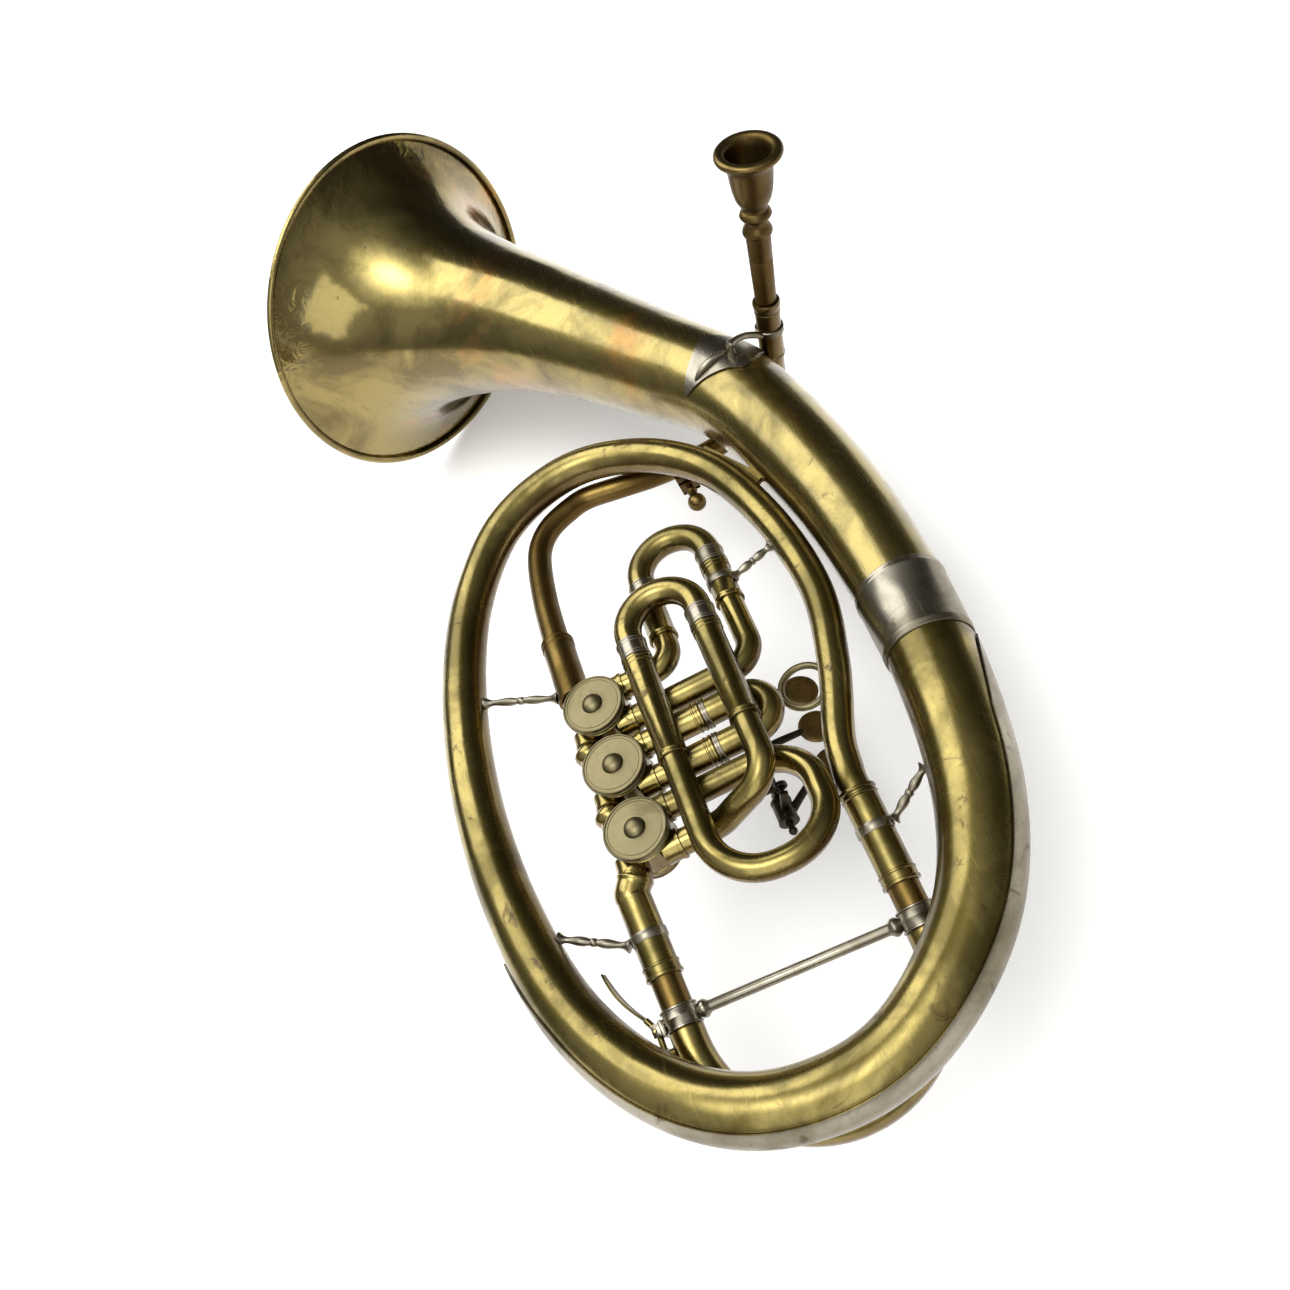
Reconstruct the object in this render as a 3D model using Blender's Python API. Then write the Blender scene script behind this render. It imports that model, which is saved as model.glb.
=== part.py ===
"""An alto horn in oval form, with three rotary valves, built in Blender.

The horn lies on its lever side. X runs across the oval, Y along it towards the bell and Z
towards the player, through the valve caps. The air goes in at the mouthpiece, down the
leadpipe, through three valves, round the tuning slide and the oval, and out of the bell.
Run it with: blender --background --python part.py
"""
import math

import bmesh
import bpy
from mathutils import Matrix, Vector

# Clearances between pieces that touch, slide or turn
SEAM = 0.0003
RUNNING = 0.0003
SLIDE_FIT = 0.0003

# Oval: the middle line of its tube, from the tuning slide round to the bell
OVAL_LINE = (
    (0.0560, -0.0980), (0.0585, -0.0840), (0.0692, -0.0520), (0.0764, -0.0140),
    (0.0718, 0.0330), (0.0575, 0.0760), (0.0310, 0.1052), (-0.0040, 0.1185),
    (-0.0414, 0.1070), (-0.0680, 0.0730), (-0.0840, 0.0270), (-0.0916, -0.0300),
    (-0.0890, -0.0880), (-0.0760, -0.1435), (-0.0500, -0.1845), (-0.0140, -0.2060),
    (0.0300, -0.2050), (0.0700, -0.1770), (0.0930, -0.1360), (0.1040, -0.0800),
    (0.1061, -0.0200), (0.1009, 0.0410), (0.0840, 0.1110), (0.0550, 0.1600),
    (0.0225, 0.2100), (-0.0050, 0.2470), (-0.0608, 0.3097),
)
# Places on that line where one branch ends and the next begins, counted in its points
S_TUBE_END = 5
UPPER_BOW_END = 9
LEFT_BRANCH_END = 13
BOTTOM_BOW_END = 17

# Taper: a slow cone round the oval, then a flare that follows the bell curve
TAPER_START_RADIUS = 0.0062
TAPER_RATE = 0.0098
CONE_END = 0.600
FLARE_END = 0.480
BELL_RADIUS = 0.0954
BELL_AXIS = Vector((-0.606, 0.795, 0)).normalized()
BELL_TURN = 0.1000
FLARE_REACH = 0.020
FLARE_START_RADIUS = 0.0171
FLARE_POWER = (math.log(BELL_RADIUS / FLARE_START_RADIUS)
               / math.log((FLARE_END + FLARE_REACH) / FLARE_REACH))
SHEET = 0.0006
BEAD_RADIUS = 0.0019
# The bell's rings lie this far back from its rim, closer together where it flares
BELL_TUBE_END = 0.130
BELL_RINGS = (0.098, 0.070, 0.047, 0.029, 0.016, 0.007)

# Band that joins the bell to the right branch, and the guard on the outer side
BAND_TOP = 0.394
BAND_WIDTH = 0.034
BAND_SHEET = 0.0007
BELL_INTO_BAND = 0.017
GUARD_SHEET = 0.0007
GUARD_SPREAD = math.radians(38)
GUARD_TOP = 0.436
GUARD_LENGTH = 0.330

# Valves
VALVE_X = -0.0281
THIRD_VALVE_Y = -0.0877
VALVE_PITCH = 0.0319
FIRST_VALVE_Y = THIRD_VALVE_Y + 2 * VALVE_PITCH
CASING_RADIUS = 0.0125
CASING_WALL = 0.0020
CASING_TOP = 0.0075
CASING_BOTTOM = -0.0095
CASING_BORE = CASING_RADIUS - CASING_WALL
STUB_LENGTH = 0.0015
STUB_END = CASING_RADIUS + STUB_LENGTH
STUB_ROOT = 0.0020
STUB_WALL = 0.0012
TUBE_BORE = 0.0048
STUB_RADIUS = TUBE_BORE + STUB_WALL
PORT = CASING_RADIUS * math.sin(math.radians(45))
KNUCKLE_LENGTH = 0.0064
KNUCKLE_BULGE = 0.0013
KNUCKLE_SWELL = 0.0009
STUB_REACH = (VALVE_PITCH - KNUCKLE_LENGTH) / 2
ROTOR_END_PLAY = 0.0005
PASSAGE_BORE = 0.0038
CAP_OVERHANG = 0.0011
CAP_RADIUS = CASING_RADIUS + CAP_OVERHANG
CAP_HEIGHT = 0.0038
CAP_CHAMFER = 0.0005
CAP_SINK = 0.0004
CAP_LIP = 0.0013
CAP_BOSS_RADIUS = 0.0054
CAP_BOSS_HEIGHT = 0.0022
BEARING_THICKNESS = 0.0025
BEARING_CHAMFER = 0.0012
SPINDLE_RADIUS = 0.0020

# Rotor action: crank, stop finger and the two stop posts
CRANK = 0.0055
CRANK_REST = math.radians(45)
ARM_THICKNESS = 0.0026
ARM_WIDTH = 0.0026
ARM_TIP = 0.0016
HUB_RADIUS = 0.0038
STOP_POST_RADIUS = 0.0014
STOP_POST_REACH = 0.0082
PIN_RADIUS = 0.0009
PIN_HEAD = 0.0009
EYE_THICKNESS = 0.0018
ARM_TOP = CASING_BOTTOM - SEAM - BEARING_THICKNESS - SEAM
ARM_LOW = ARM_TOP - ARM_THICKNESS
LINK_Z = ARM_LOW - RUNNING - EYE_THICKNESS / 2

# Tubes of the valve slides
TUBE_WALL = 0.0007
TUBE_RADIUS = TUBE_BORE + TUBE_WALL
SLEEVE_WALL = 0.0004
SLEEVE_BORE = TUBE_RADIUS + SLIDE_FIT
SLEEVE_RADIUS = SLEEVE_BORE + SLEEVE_WALL
BOW_WALL = 0.0012
BOW_RADIUS = TUBE_BORE + BOW_WALL
COLLAR_RISE = 0.0004
COLLAR_RADIUS = SLEEVE_RADIUS + COLLAR_RISE
COLLAR_LENGTH = 0.0080
SLEEVE_RING = 0.0026
SHOULDER = 0.0008

FIRST_SLIDE_LEFT_X = 0.0087
FIRST_SLIDE_RIGHT_X = 0.0415
FIRST_SLEEVE_RISE = 0.0454
FIRST_BOW_REACH = 0.0100
FIRST_SLEEVE_TOP = FIRST_VALVE_Y + FIRST_SLEEVE_RISE
FIRST_BOW_Y = FIRST_SLEEVE_TOP + FIRST_BOW_REACH
FIRST_LEG = 0.0200
FIRST_LEFT_SPARE = 0.0040
FIRST_RIGHT_SPARE = 0.0020
FIRST_LEFT_BEND = 0.0090
FIRST_RIGHT_BEND = 0.0110

SECOND_SLEEVE_END_X = 0.0120
SECOND_BOW_X = 0.0297
SECOND_LEG = 0.0190
SECOND_SPARE = 0.0030

THIRD_SLIDE_Z = 0.0136
THIRD_SLIDE_LEFT_X = -0.0032
THIRD_SLIDE_RIGHT_X = 0.0290
THIRD_SLEEVE_RISE = 0.0707
THIRD_BOW_REACH = 0.0125
THIRD_SLEEVE_TOP = THIRD_VALVE_Y + THIRD_SLEEVE_RISE
THIRD_BOW_Y = THIRD_SLEEVE_TOP + THIRD_BOW_REACH
THIRD_LEG = 0.0450
THIRD_LEFT_SPARE = 0.0070
THIRD_RIGHT_SPARE = 0.0050
THIRD_DIP_X = 0.0030
THIRD_DIP_RISE = 0.0030
THIRD_DIP_BENDS = (0.0150, 0.0130)
CURL_DROP = 0.0413
CURL_BOTTOM_Y = THIRD_VALVE_Y - CURL_DROP
CURL_BOTTOM_Z = 0.0098
CURL_RIGHT_X = 0.0438
CURL_BENDS = (0.0140, 0.0225, 0.0225)

# Tuning slide, in a plane that falls away from the oval
SLIDE_FALL = math.radians(15)
OUTLET_LENGTH = 0.00805
SLIDE_TOP_Y = THIRD_VALVE_Y - STUB_REACH - OUTLET_LENGTH
SLIDE_TOP_Z = -0.0010
SLIDE_LEFT_X = -0.0402
SLIDE_RIGHT_X = 0.0552
TUNING_LEG_RADIUS = 0.0062
TUNING_LEG_WALL = 0.0008
TUNING_SLEEVE_WALL = 0.0005
TUNING_SLEEVE_BORE = TUNING_LEG_RADIUS + SLIDE_FIT
TUNING_SLEEVE_RADIUS = TUNING_SLEEVE_BORE + TUNING_SLEEVE_WALL
TUNING_TOP_RING = 0.0030
TUNING_END_RING = 0.0046
TUNING_RING_RISE = 0.0007
TUNING_SOCKET_TOP = 0.0020
LEFT_SLEEVE_LENGTH = 0.0330
RIGHT_SLEEVE_LENGTH = 0.0395
TUNING_INSERTED = 0.0180
TUNING_BOW_DROP = 0.0584
CROSS_LEFT_DROP = 0.0490
CROSS_RIGHT_DROP = 0.0525
CLASP_HALF = 0.0042
CLASP_WALL = 0.0008
CLASP_BELLY = 0.0018
CROSS_ROD_RADIUS = 0.0022

# Water key on the left leg of the tuning slide
KEY_DROP = 0.0500
KEY_BLADE = 0.0280
KEY_TAIL = 0.0100
KEY_STAND = 0.0042
KEY_BARREL_RADIUS = 0.0020
KEY_EAR = Vector((0.0052, 0.0050, 0.0012))
KEY_SEAT = Vector((0.0014, 0.0060, 0.0080))
KEY_EAR_AT = 0.0032
KEY_PAD_RADIUS = 0.0036
KEY_PAD_HEIGHT = 0.0034
KEY_ARM_RADIUS = 0.0014
KEY_KNEE = 0.0060
KEY_KNEE_OUT = 0.0030
KEY_TIP_OUT = 0.0120
KEY_SHEET = 0.0012
NIPPLE_HEIGHT = 0.0018
NIPPLE_RADIUS = 0.0024
NIPPLE_BORE = 0.0012

# Mouthpiece and the receiver it sits in, on one leaning axis beside the bell
RECEIVER_AT = 0.2411
RECEIVER_GAP = 0.0007
RECEIVER_Z = -0.0020
RECEIVER_LEAN = math.radians(13)
RECEIVER_LOW = -0.0120
RECEIVER_HIGH = 0.0310
RECEIVER_WALL = 0.0006
RECEIVER_RING_RISE = 0.0009
RECEIVER_FOOT_RING = 0.0040
RECEIVER_MOUTH_RING = 0.0069
SHANK_RADIUS = 0.0041
SHANK_INSERTED = 0.0180
LEADPIPE_START_RADIUS = 0.0051
MOUTHPIECE_VISIBLE = 0.0790
RIM_RADIUS = 0.0150
CUP_RADIUS = 0.0095
CUP_DEPTH = 0.0210

# Leadpipe: its first bend hangs from the receiver's foot, the rest lies under the loop
LEADPIPE_BEND = (
    (-0.0061, 0.0000, -0.0205), (-0.0116, -0.0010, -0.0285), (-0.0256, -0.0060, -0.0300),
)
LEADPIPE_LINE = (
    (0.0600, 0.1130, -0.0270), (0.0350, 0.1070, -0.0190), (0.0154, 0.1065, -0.0140),
    (-0.0028, 0.1097, -0.0130), (-0.0139, 0.1060, -0.0112), (-0.0246, 0.1000, -0.0100),
    (-0.0318, 0.0902, -0.0090), (-0.0353, 0.0763, -0.0078), (-0.0373, 0.0514, -0.0050),
)
LEADPIPE_LEAN = Vector((-0.0006, 0.0387, -0.0025))
LEADPIPE_FERRULE_FOOT = 0.0010
LEADPIPE_FERRULE_TOP = 0.0370
LEADPIPE_FERRULE_WALL = 0.0008

# Thumb ring, lyre holder and its screw
RING_CENTRE = Vector((0.0545, -0.0500, -0.0095))
RING_RADIUS = 0.0086
RING_WIRE = 0.0016
LYRE_BLOCK = Vector((0.0090, 0.0080, 0.0125))
LYRE_RISE = 0.0014
LYRE_CENTRE = Vector((0.0455, 0.0900, -0.0142))
LYRE_SOCKET = 0.0052
LYRE_SCREW_RADIUS = 0.0016
LYRE_SCREW_LENGTH = 0.0090
LYRE_KNOB_RADIUS = 0.0044

# Lever rack behind the valves
AXLE_X = 0.0240
AXLE_RADIUS = 0.0015
AXLE_OVERHANG = 0.0040
DRUM_RADIUS = 0.0045
DRUM_LENGTH = 0.0112
DRUM_SHIFT = -0.0026
LEVER_ARM = 0.0150
LEVER_REST = math.radians(15)
AXLE_Z = LINK_Z - LEVER_ARM * math.cos(LEVER_REST)
LEVER_PLATE = Vector((0.0034, 0.0018, 0.0153))
LEVER_PLATE_BACK = 0.0034
TOUCH_REACH = 0.0270
TOUCH_PITCH = 0.0200
TOUCH_RADIUS = 0.0080
TOUCH_SHEET = 0.0016
STEM_RADIUS = 0.0014
LINK_RADIUS = 0.0010
EYE_RADIUS = 0.0024
FAR_EYE_SHIFT = 0.0006
FAR_EYE_PLAY = 0.0008
POST_RADIUS = 0.0016
POST_FOOT_RADIUS = 0.0034
POST_FOOT_HEIGHT = 0.0022

# Braces: turned balusters between tubes
BRACE_WAIST = 0.0011
BRACE_BELLY = 0.0021
BRACE_FOOT = 0.0036
BRACE_FLARE = 0.0024
BRACE_DROP = 0.0165
VALVE_BRACE_RISE = 0.0065
VALVE_BRACE_AT = Vector((-0.0865, 0.0150, 0))
LEFT_BRACE_AT = Vector((-0.0850, -0.1140, 0))
RIGHT_BRACE_AT = Vector((0.0975, -0.1150, 0))
SLIDE_BRACE_AT = Vector((0.0762, 0.0200, 0))
SLIDE_BRACE_DROP = 0.0100
SLIDE_BRACE_Y = FIRST_SLEEVE_TOP - SLIDE_BRACE_DROP

# Diamond flange on the bell that carries the receiver's arm
FLANGE_AT = 0.248
FLANGE_REACH = 0.019
FLANGE_ANGLE = math.radians(18)
FLANGE_SPREAD = math.radians(62)
FLANGE_SHEET = 0.0007
FLANGE_LIFT = 0.0005
FLANGE_RISE = 0.0060
FLANGE_ARM_RADIUS = 0.0017
CLASP_HEIGHT = 0.0145

# Rib between the loop and the bell
SADDLE_CENTRE = Vector((0.0655, 0.0700, 0))
SADDLE_RUN = Vector((0.0180, -0.0340, 0))
SADDLE_WIDTH = 0.0100
SADDLE_HEIGHT = 0.0030

# Facets round each kind of tube
BELL_SIDES = 18
OVAL_SIDES = 10
SLIDE_SIDES = 12
DRUM_SIDES = 12
TUBE_SIDES = 8
SMALL_SIDES = 6
BOW_STEPS = 10

UP = Vector((0, 0, 1))


def clear_scene():
    for item in list(bpy.data.objects):
        bpy.data.objects.remove(item, do_unlink=True)


def metal(name, colour, roughness):
    material = bpy.data.materials.new(name)
    material.use_nodes = True
    shader = material.node_tree.nodes["Principled BSDF"]
    shader.inputs["Base Color"].default_value = (*colour, 1)
    shader.inputs["Roughness"].default_value = roughness
    shader.inputs["Metallic"].default_value = 1.0
    material.diffuse_color = (*colour, 1)
    return material


# Paths

def smooth(points, steps=8):
    """A smooth curve through the points, as a list of close points."""
    points = [Vector(p).to_3d() if len(p) == 2 else Vector(p) for p in points]
    curve = []
    for i in range(len(points) - 1):
        before = points[max(i - 1, 0)]
        here, there = points[i], points[i + 1]
        after = points[min(i + 2, len(points) - 1)]
        for k in range(steps):
            t = k / steps
            curve.append(0.5 * (2 * here + (there - before) * t
                                + (2 * before - 5 * here + 4 * there - after) * t ** 2
                                + (3 * here - before - 3 * there + after) * t ** 3))
    return curve + [points[-1]]


def bent(corners, radii, steps=3):
    """A route of straight runs whose corners are rounded to the given radii."""
    corners = [Vector(c) for c in corners]
    route = [corners[0]]
    for before, corner, after, radius in zip(corners, corners[1:], corners[2:], radii):
        back = (before - corner).normalized()
        ahead = (after - corner).normalized()
        half = back.angle(ahead) / 2
        centre = corner + (back + ahead).normalized() * radius / math.sin(half)
        start = corner + back * radius / math.tan(half) - centre
        end = corner + ahead * radius / math.tan(half) - centre
        sweep = start.angle(end)
        axis = start.cross(end).normalized()
        for k in range(steps + 1):
            route.append(centre + Matrix.Rotation(sweep * k / steps, 3, axis) @ start)
    return route + [corners[-1]]


class Line:
    """A path measured by its length."""

    def __init__(self, points):
        self.points = points
        self.marks = [0.0]
        for a, b in zip(points, points[1:]):
            self.marks.append(self.marks[-1] + (b - a).length)
        self.length = self.marks[-1]

    def at(self, distance):
        distance = min(max(distance, 0.0), self.length)
        for i in range(len(self.points) - 1):
            if distance <= self.marks[i + 1]:
                share = (distance - self.marks[i]) / (self.marks[i + 1] - self.marks[i])
                return self.points[i].lerp(self.points[i + 1], share)
        return self.points[-1]

    def direction(self, distance, reach=0.002):
        return (self.at(distance + reach) - self.at(distance - reach)).normalized()


def frames(points, directions=None, side=None):
    """A pair of crosswise directions at each point of a path, carried along without twist."""
    if directions is None:
        directions = []
        for i in range(len(points)):
            a, b = points[max(i - 1, 0)], points[min(i + 1, len(points) - 1)]
            directions.append((b - a).normalized())
    side = side or (UP if abs(directions[0].z) < 0.9 else Vector((0, 1, 0)))
    result = []
    for i, along in enumerate(directions):
        if i:
            side = directions[i - 1].rotation_difference(along) @ side
        side = (side - along * side.dot(along)).normalized()
        result.append((side, along.cross(side)))
    return result


# Solids

def ring_chain(rings, sides, looped=False):
    """A closed skin over rings of (centre, side, other side, radius), one after another."""
    bm = bmesh.new()
    loops = []
    for centre, side, other, radius in rings:
        loop = []
        for k in range(sides):
            angle = 2 * math.pi * (k + 0.5) / sides
            offset = side * math.cos(angle) + other * math.sin(angle)
            loop.append(bm.verts.new(centre + offset * radius))
        loops.append(loop)
    pairs = list(zip(loops, loops[1:]))
    if looped:
        pairs.append((loops[-1], loops[0]))
    for first, second in pairs:
        for k in range(sides):
            bm.faces.new((first[k], first[(k + 1) % sides], second[(k + 1) % sides], second[k]))
    if not looped:
        bm.faces.new(loops[0])
        bm.faces.new(loops[-1])
    bmesh.ops.recalc_face_normals(bm, faces=bm.faces)
    return bm


def pipe(points, outer, inner, sides=TUBE_SIDES, directions=None, side=None, bore=None):
    """A tube along the points. The radii are numbers, or one for each point.

    The bore may skip points: it then holds the numbers of those that it uses.
    """
    count = len(points)
    outer = outer if isinstance(outer, (list, tuple)) else [outer] * count
    inner = inner if isinstance(inner, (list, tuple)) else [inner] * count
    crosswise = frames(points, directions, side)
    skin = [(points[i], *crosswise[i], outer[i]) for i in range(count)]
    hollow = [(points[i], *crosswise[i], inner[i]) for i in (bore or range(count))]
    return ring_chain(skin + hollow[::-1], sides, looped=True)


def clear_of(radius, sides):
    """The radius of a facetted bore whose flats stay clear of a round of this radius."""
    return (radius + SEAM) / math.cos(math.pi / sides)


def turned(profile, foot, along, sides=TUBE_SIDES, looped=False, side=None):
    """A turned piece: the profile holds (distance from the foot, radius) pairs."""
    along = along.normalized()
    side = side or (UP if abs(along.z) < 0.9 else Vector((0, 1, 0)))
    side = (side - along * side.dot(along)).normalized()
    other = along.cross(side)
    rings = [(foot + along * d, side, other, r) for d, r in profile]
    return ring_chain(rings, sides, looped)


def rod(start, end, radius, sides=SMALL_SIDES):
    return turned([(0, radius), ((end - start).length, radius)], start, end - start, sides)


def block(centre, size, turn=None):
    bm = bmesh.new()
    bmesh.ops.create_cube(bm, size=1)
    bmesh.ops.scale(bm, vec=size, verts=bm.verts)
    if turn:
        bmesh.ops.rotate(bm, matrix=turn, verts=bm.verts)
    bmesh.ops.translate(bm, vec=centre, verts=bm.verts)
    return bm


def scratch(bm):
    mesh = bpy.data.meshes.new("scratch")
    bm.to_mesh(mesh)
    bm.free()
    item = bpy.data.objects.new("scratch", mesh)
    bpy.context.scene.collection.objects.link(item)
    return item


def combined(base, joined=(), cut=()):
    """The base with other shapes joined to it, and then others cut from it."""
    work = scratch(base)
    tools = []
    for operation, shapes in (("UNION", joined), ("DIFFERENCE", cut)):
        for shape in shapes:
            tool = scratch(shape)
            modifier = work.modifiers.new(operation, "BOOLEAN")
            modifier.operation = operation
            modifier.object = tool
            tools.append(tool)
    graph = bpy.context.evaluated_depsgraph_get()
    mesh = bpy.data.meshes.new_from_object(work.evaluated_get(graph))
    bm = bmesh.new()
    bm.from_mesh(mesh)
    for item in [work] + tools:
        bpy.data.objects.remove(item, do_unlink=True)
    return bm


class Horn:
    """Places every piece under one empty, so that the whole horn can be set on its rest."""

    def __init__(self):
        self.base = bpy.data.objects.new("horn", None)
        bpy.context.scene.collection.objects.link(self.base)

    def add(self, name, bm, material, origin=Vector((0, 0, 0))):
        bmesh.ops.translate(bm, vec=-origin, verts=bm.verts)
        mesh = bpy.data.meshes.new(name)
        bm.to_mesh(mesh)
        bm.free()
        mesh.shade_smooth()
        mesh.set_sharp_from_angle(angle=math.radians(35))
        mesh.materials.append(material)
        item = bpy.data.objects.new(name, mesh)
        item.location = origin
        item.parent = self.base
        bpy.context.scene.collection.objects.link(item)
        return item

    def set_down(self):
        """Moves the horn so that the middle of its box stands over the world's origin."""
        low = Vector((math.inf,) * 3)
        high = -low
        for item in self.base.children:
            for vertex in item.data.vertices:
                place = item.location + vertex.co
                low = Vector(map(min, low, place))
                high = Vector(map(max, high, place))
        self.base.location = Vector((-(low.x + high.x) / 2, -(low.y + high.y) / 2, -low.z))


# Oval and bell

OVAL = Line(smooth(OVAL_LINE))


def from_rim(distance):
    """The place on the oval's line at this distance back from the bell's rim."""
    return OVAL.length - distance


def point_mark(index, steps=8):
    """The distance along the oval's line of one of its named points."""
    return OVAL.marks[index * steps]


def oval_radius(distance):
    """The outer radius of the tube at this distance along the oval's line."""
    back = OVAL.length - distance
    cone = TAPER_START_RADIUS + TAPER_RATE * distance
    flare = BELL_RADIUS * (FLARE_REACH / (back + FLARE_REACH)) ** FLARE_POWER
    if back > CONE_END:
        return cone
    if back < FLARE_END:
        return flare
    share = (CONE_END - back) / (CONE_END - FLARE_END)
    cone_edge = TAPER_START_RADIUS + TAPER_RATE * (OVAL.length - CONE_END)
    return cone_edge + (FLARE_START_RADIUS - cone_edge) * share


def oval_surface(distance, angle, lift=0.0):
    """A point on the oval's tube: the angle runs from the player's side to the outer side."""
    along = OVAL.direction(distance)
    outward = along.cross(UP)
    reach = oval_radius(distance) + lift
    return OVAL.at(distance) + UP * reach * math.cos(angle) + outward * reach * math.sin(angle)


def spaced(start, end, count):
    return [start + (end - start) * k / (count - 1) for k in range(count)]


OVAL_BRANCHES = {
    "upper_bow": spaced(point_mark(S_TUBE_END) + SEAM, point_mark(UPPER_BOW_END), 10),
    "left_branch": spaced(point_mark(UPPER_BOW_END) + SEAM, point_mark(LEFT_BRANCH_END), 8),
    "bottom_bow": spaced(point_mark(LEFT_BRANCH_END) + SEAM, point_mark(BOTTOM_BOW_END), 11),
    "right_branch": spaced(point_mark(BOTTOM_BOW_END) + SEAM,
                           from_rim(BAND_TOP + BELL_INTO_BAND), 9),
    "bell": spaced(from_rim(BAND_TOP + BELL_INTO_BAND) + SEAM, from_rim(BELL_TUBE_END), 8),
}


def branch(name):
    """One branch of the oval, as an open tube."""
    marks = OVAL_BRANCHES[name]
    points = [OVAL.at(m) for m in marks]
    directions = [OVAL.direction(m) for m in marks]
    outer = [oval_radius(m) for m in marks]
    return pipe(points, outer, [r - SHEET for r in outer], OVAL_SIDES, directions)


def branch_space(name, sides=OVAL_SIDES):
    """The solid space that a branch and its seam take up, to cut its neighbours by."""
    marks = OVAL_BRANCHES[name]
    points = [OVAL.at(m) for m in marks]
    crosswise = frames(points, [OVAL.direction(m) for m in marks])
    rings = [(p, *c, oval_radius(m) + SEAM) for p, c, m in zip(points, crosswise, marks)]
    return ring_chain(rings, sides)


def flare_wall(mark):
    """How far the inner skin lies inside the outer one, for an even sheet on the slope."""
    slope = (oval_radius(mark + SHEET) - oval_radius(mark - SHEET)) / (2 * SHEET)
    return SHEET * math.sqrt(1 + slope ** 2)


def bell_branch():
    """The bell with its rolled rim, and the tube behind it as far as the band."""
    marks = OVAL_BRANCHES["bell"] + [from_rim(back) for back in BELL_RINGS]
    outward = BELL_AXIS
    points = [OVAL.at(m) for m in marks]
    directions = []
    for mark in marks:
        share = max(0.0, 1 - (OVAL.length - mark) / BELL_TURN)
        directions.append(OVAL.direction(mark).lerp(outward, share).normalized())
    crosswise = frames(points + [OVAL.points[-1]], directions + [outward])
    skin = [(p, *c, oval_radius(m)) for p, c, m in zip(points, crosswise, marks)]
    bore = [(p, *c, oval_radius(m) - flare_wall(m)) for p, c, m in zip(points, crosswise, marks)]
    centre = OVAL.points[-1] - outward * BEAD_RADIUS
    bead = []
    for degrees in (-140, -80, -20, 40, 100, 150):
        turn = math.radians(degrees)
        reach = BELL_RADIUS - BEAD_RADIUS + BEAD_RADIUS * math.cos(turn)
        bead.append((centre + outward * BEAD_RADIUS * math.sin(turn), *crosswise[-1], reach))
    return ring_chain(skin + bead + bore[::-1], BELL_SIDES, looped=True)


def band():
    marks = spaced(from_rim(BAND_TOP + BAND_WIDTH), from_rim(BAND_TOP), 4)
    points = [OVAL.at(m) for m in marks]
    inner = [clear_of(oval_radius(m), OVAL_SIDES) + SEAM for m in marks]
    outer = [r + BAND_SHEET for r in inner]
    return pipe(points, outer, inner, OVAL_SIDES, [OVAL.direction(m) for m in marks])


def surface_plate(marks, spread_at, lift, thickness, columns, middle=math.radians(90)):
    """A sheet that hugs the oval's tube, wide by the given angle to each side of its middle."""
    bm = bmesh.new()
    grids = []
    for reach in (lift, lift + thickness):
        grid = []
        for mark in marks:
            spread = spread_at(mark)
            bulge = oval_radius(mark) * (1 / math.cos(spread / columns) - 1)
            row = []
            for k in range(columns + 1):
                angle = middle + spread * (2 * k / columns - 1)
                row.append(bm.verts.new(oval_surface(mark, angle, reach + bulge)))
            grid.append(row)
        grids.append(grid)
    for grid in grids:
        for first, second in zip(grid, grid[1:]):
            for k in range(columns):
                bm.faces.new((first[k], first[k + 1], second[k + 1], second[k]))
    low, high = grids
    last = len(marks) - 1
    for i in range(last):
        for k in (0, columns):
            bm.faces.new((low[i][k], low[i + 1][k], high[i + 1][k], high[i][k]))
    for k in range(columns):
        for i in (0, last):
            bm.faces.new((low[i][k], low[i][k + 1], high[i][k + 1], high[i][k]))
    bmesh.ops.recalc_face_normals(bm, faces=bm.faces)
    return bm


def guard():
    """The strip along the outer side of the right branch and the bottom bow."""
    top = from_rim(GUARD_TOP)
    marks = [top]
    for name in ("right_branch", "bottom_bow", "left_branch"):
        for mark in OVAL_BRANCHES[name][::-1]:
            if top - GUARD_LENGTH < mark < marks[-1] - 4 * SEAM:
                marks.append(mark)
    marks.append(top - GUARD_LENGTH)

    def spread(mark):
        share = (top - mark) / GUARD_LENGTH
        return GUARD_SPREAD * min(1.0, 0.25 + 6 * share, 0.25 + 6 * (1 - share))

    return surface_plate(marks, spread, SEAM, GUARD_SHEET, 3)


def build_oval(horn, brass, nickel):
    for name in ("upper_bow", "left_branch", "bottom_bow", "right_branch"):
        horn.add(name, branch(name), brass)
    horn.add("bell", bell_branch(), brass)
    horn.add("bell_band", band(), nickel)
    horn.add("guard_strip", guard(), nickel)


# Tuning slide: distances run down its legs from their top

SLIDE_DOWN = Vector((0, -math.cos(SLIDE_FALL), -math.sin(SLIDE_FALL)))
SLIDE_UP = -SLIDE_DOWN
SLIDE_FACE = Vector((0, -math.sin(SLIDE_FALL), math.cos(SLIDE_FALL)))


def on_leg(x, down):
    return Vector((x, SLIDE_TOP_Y, SLIDE_TOP_Z)) + SLIDE_DOWN * down


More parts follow.
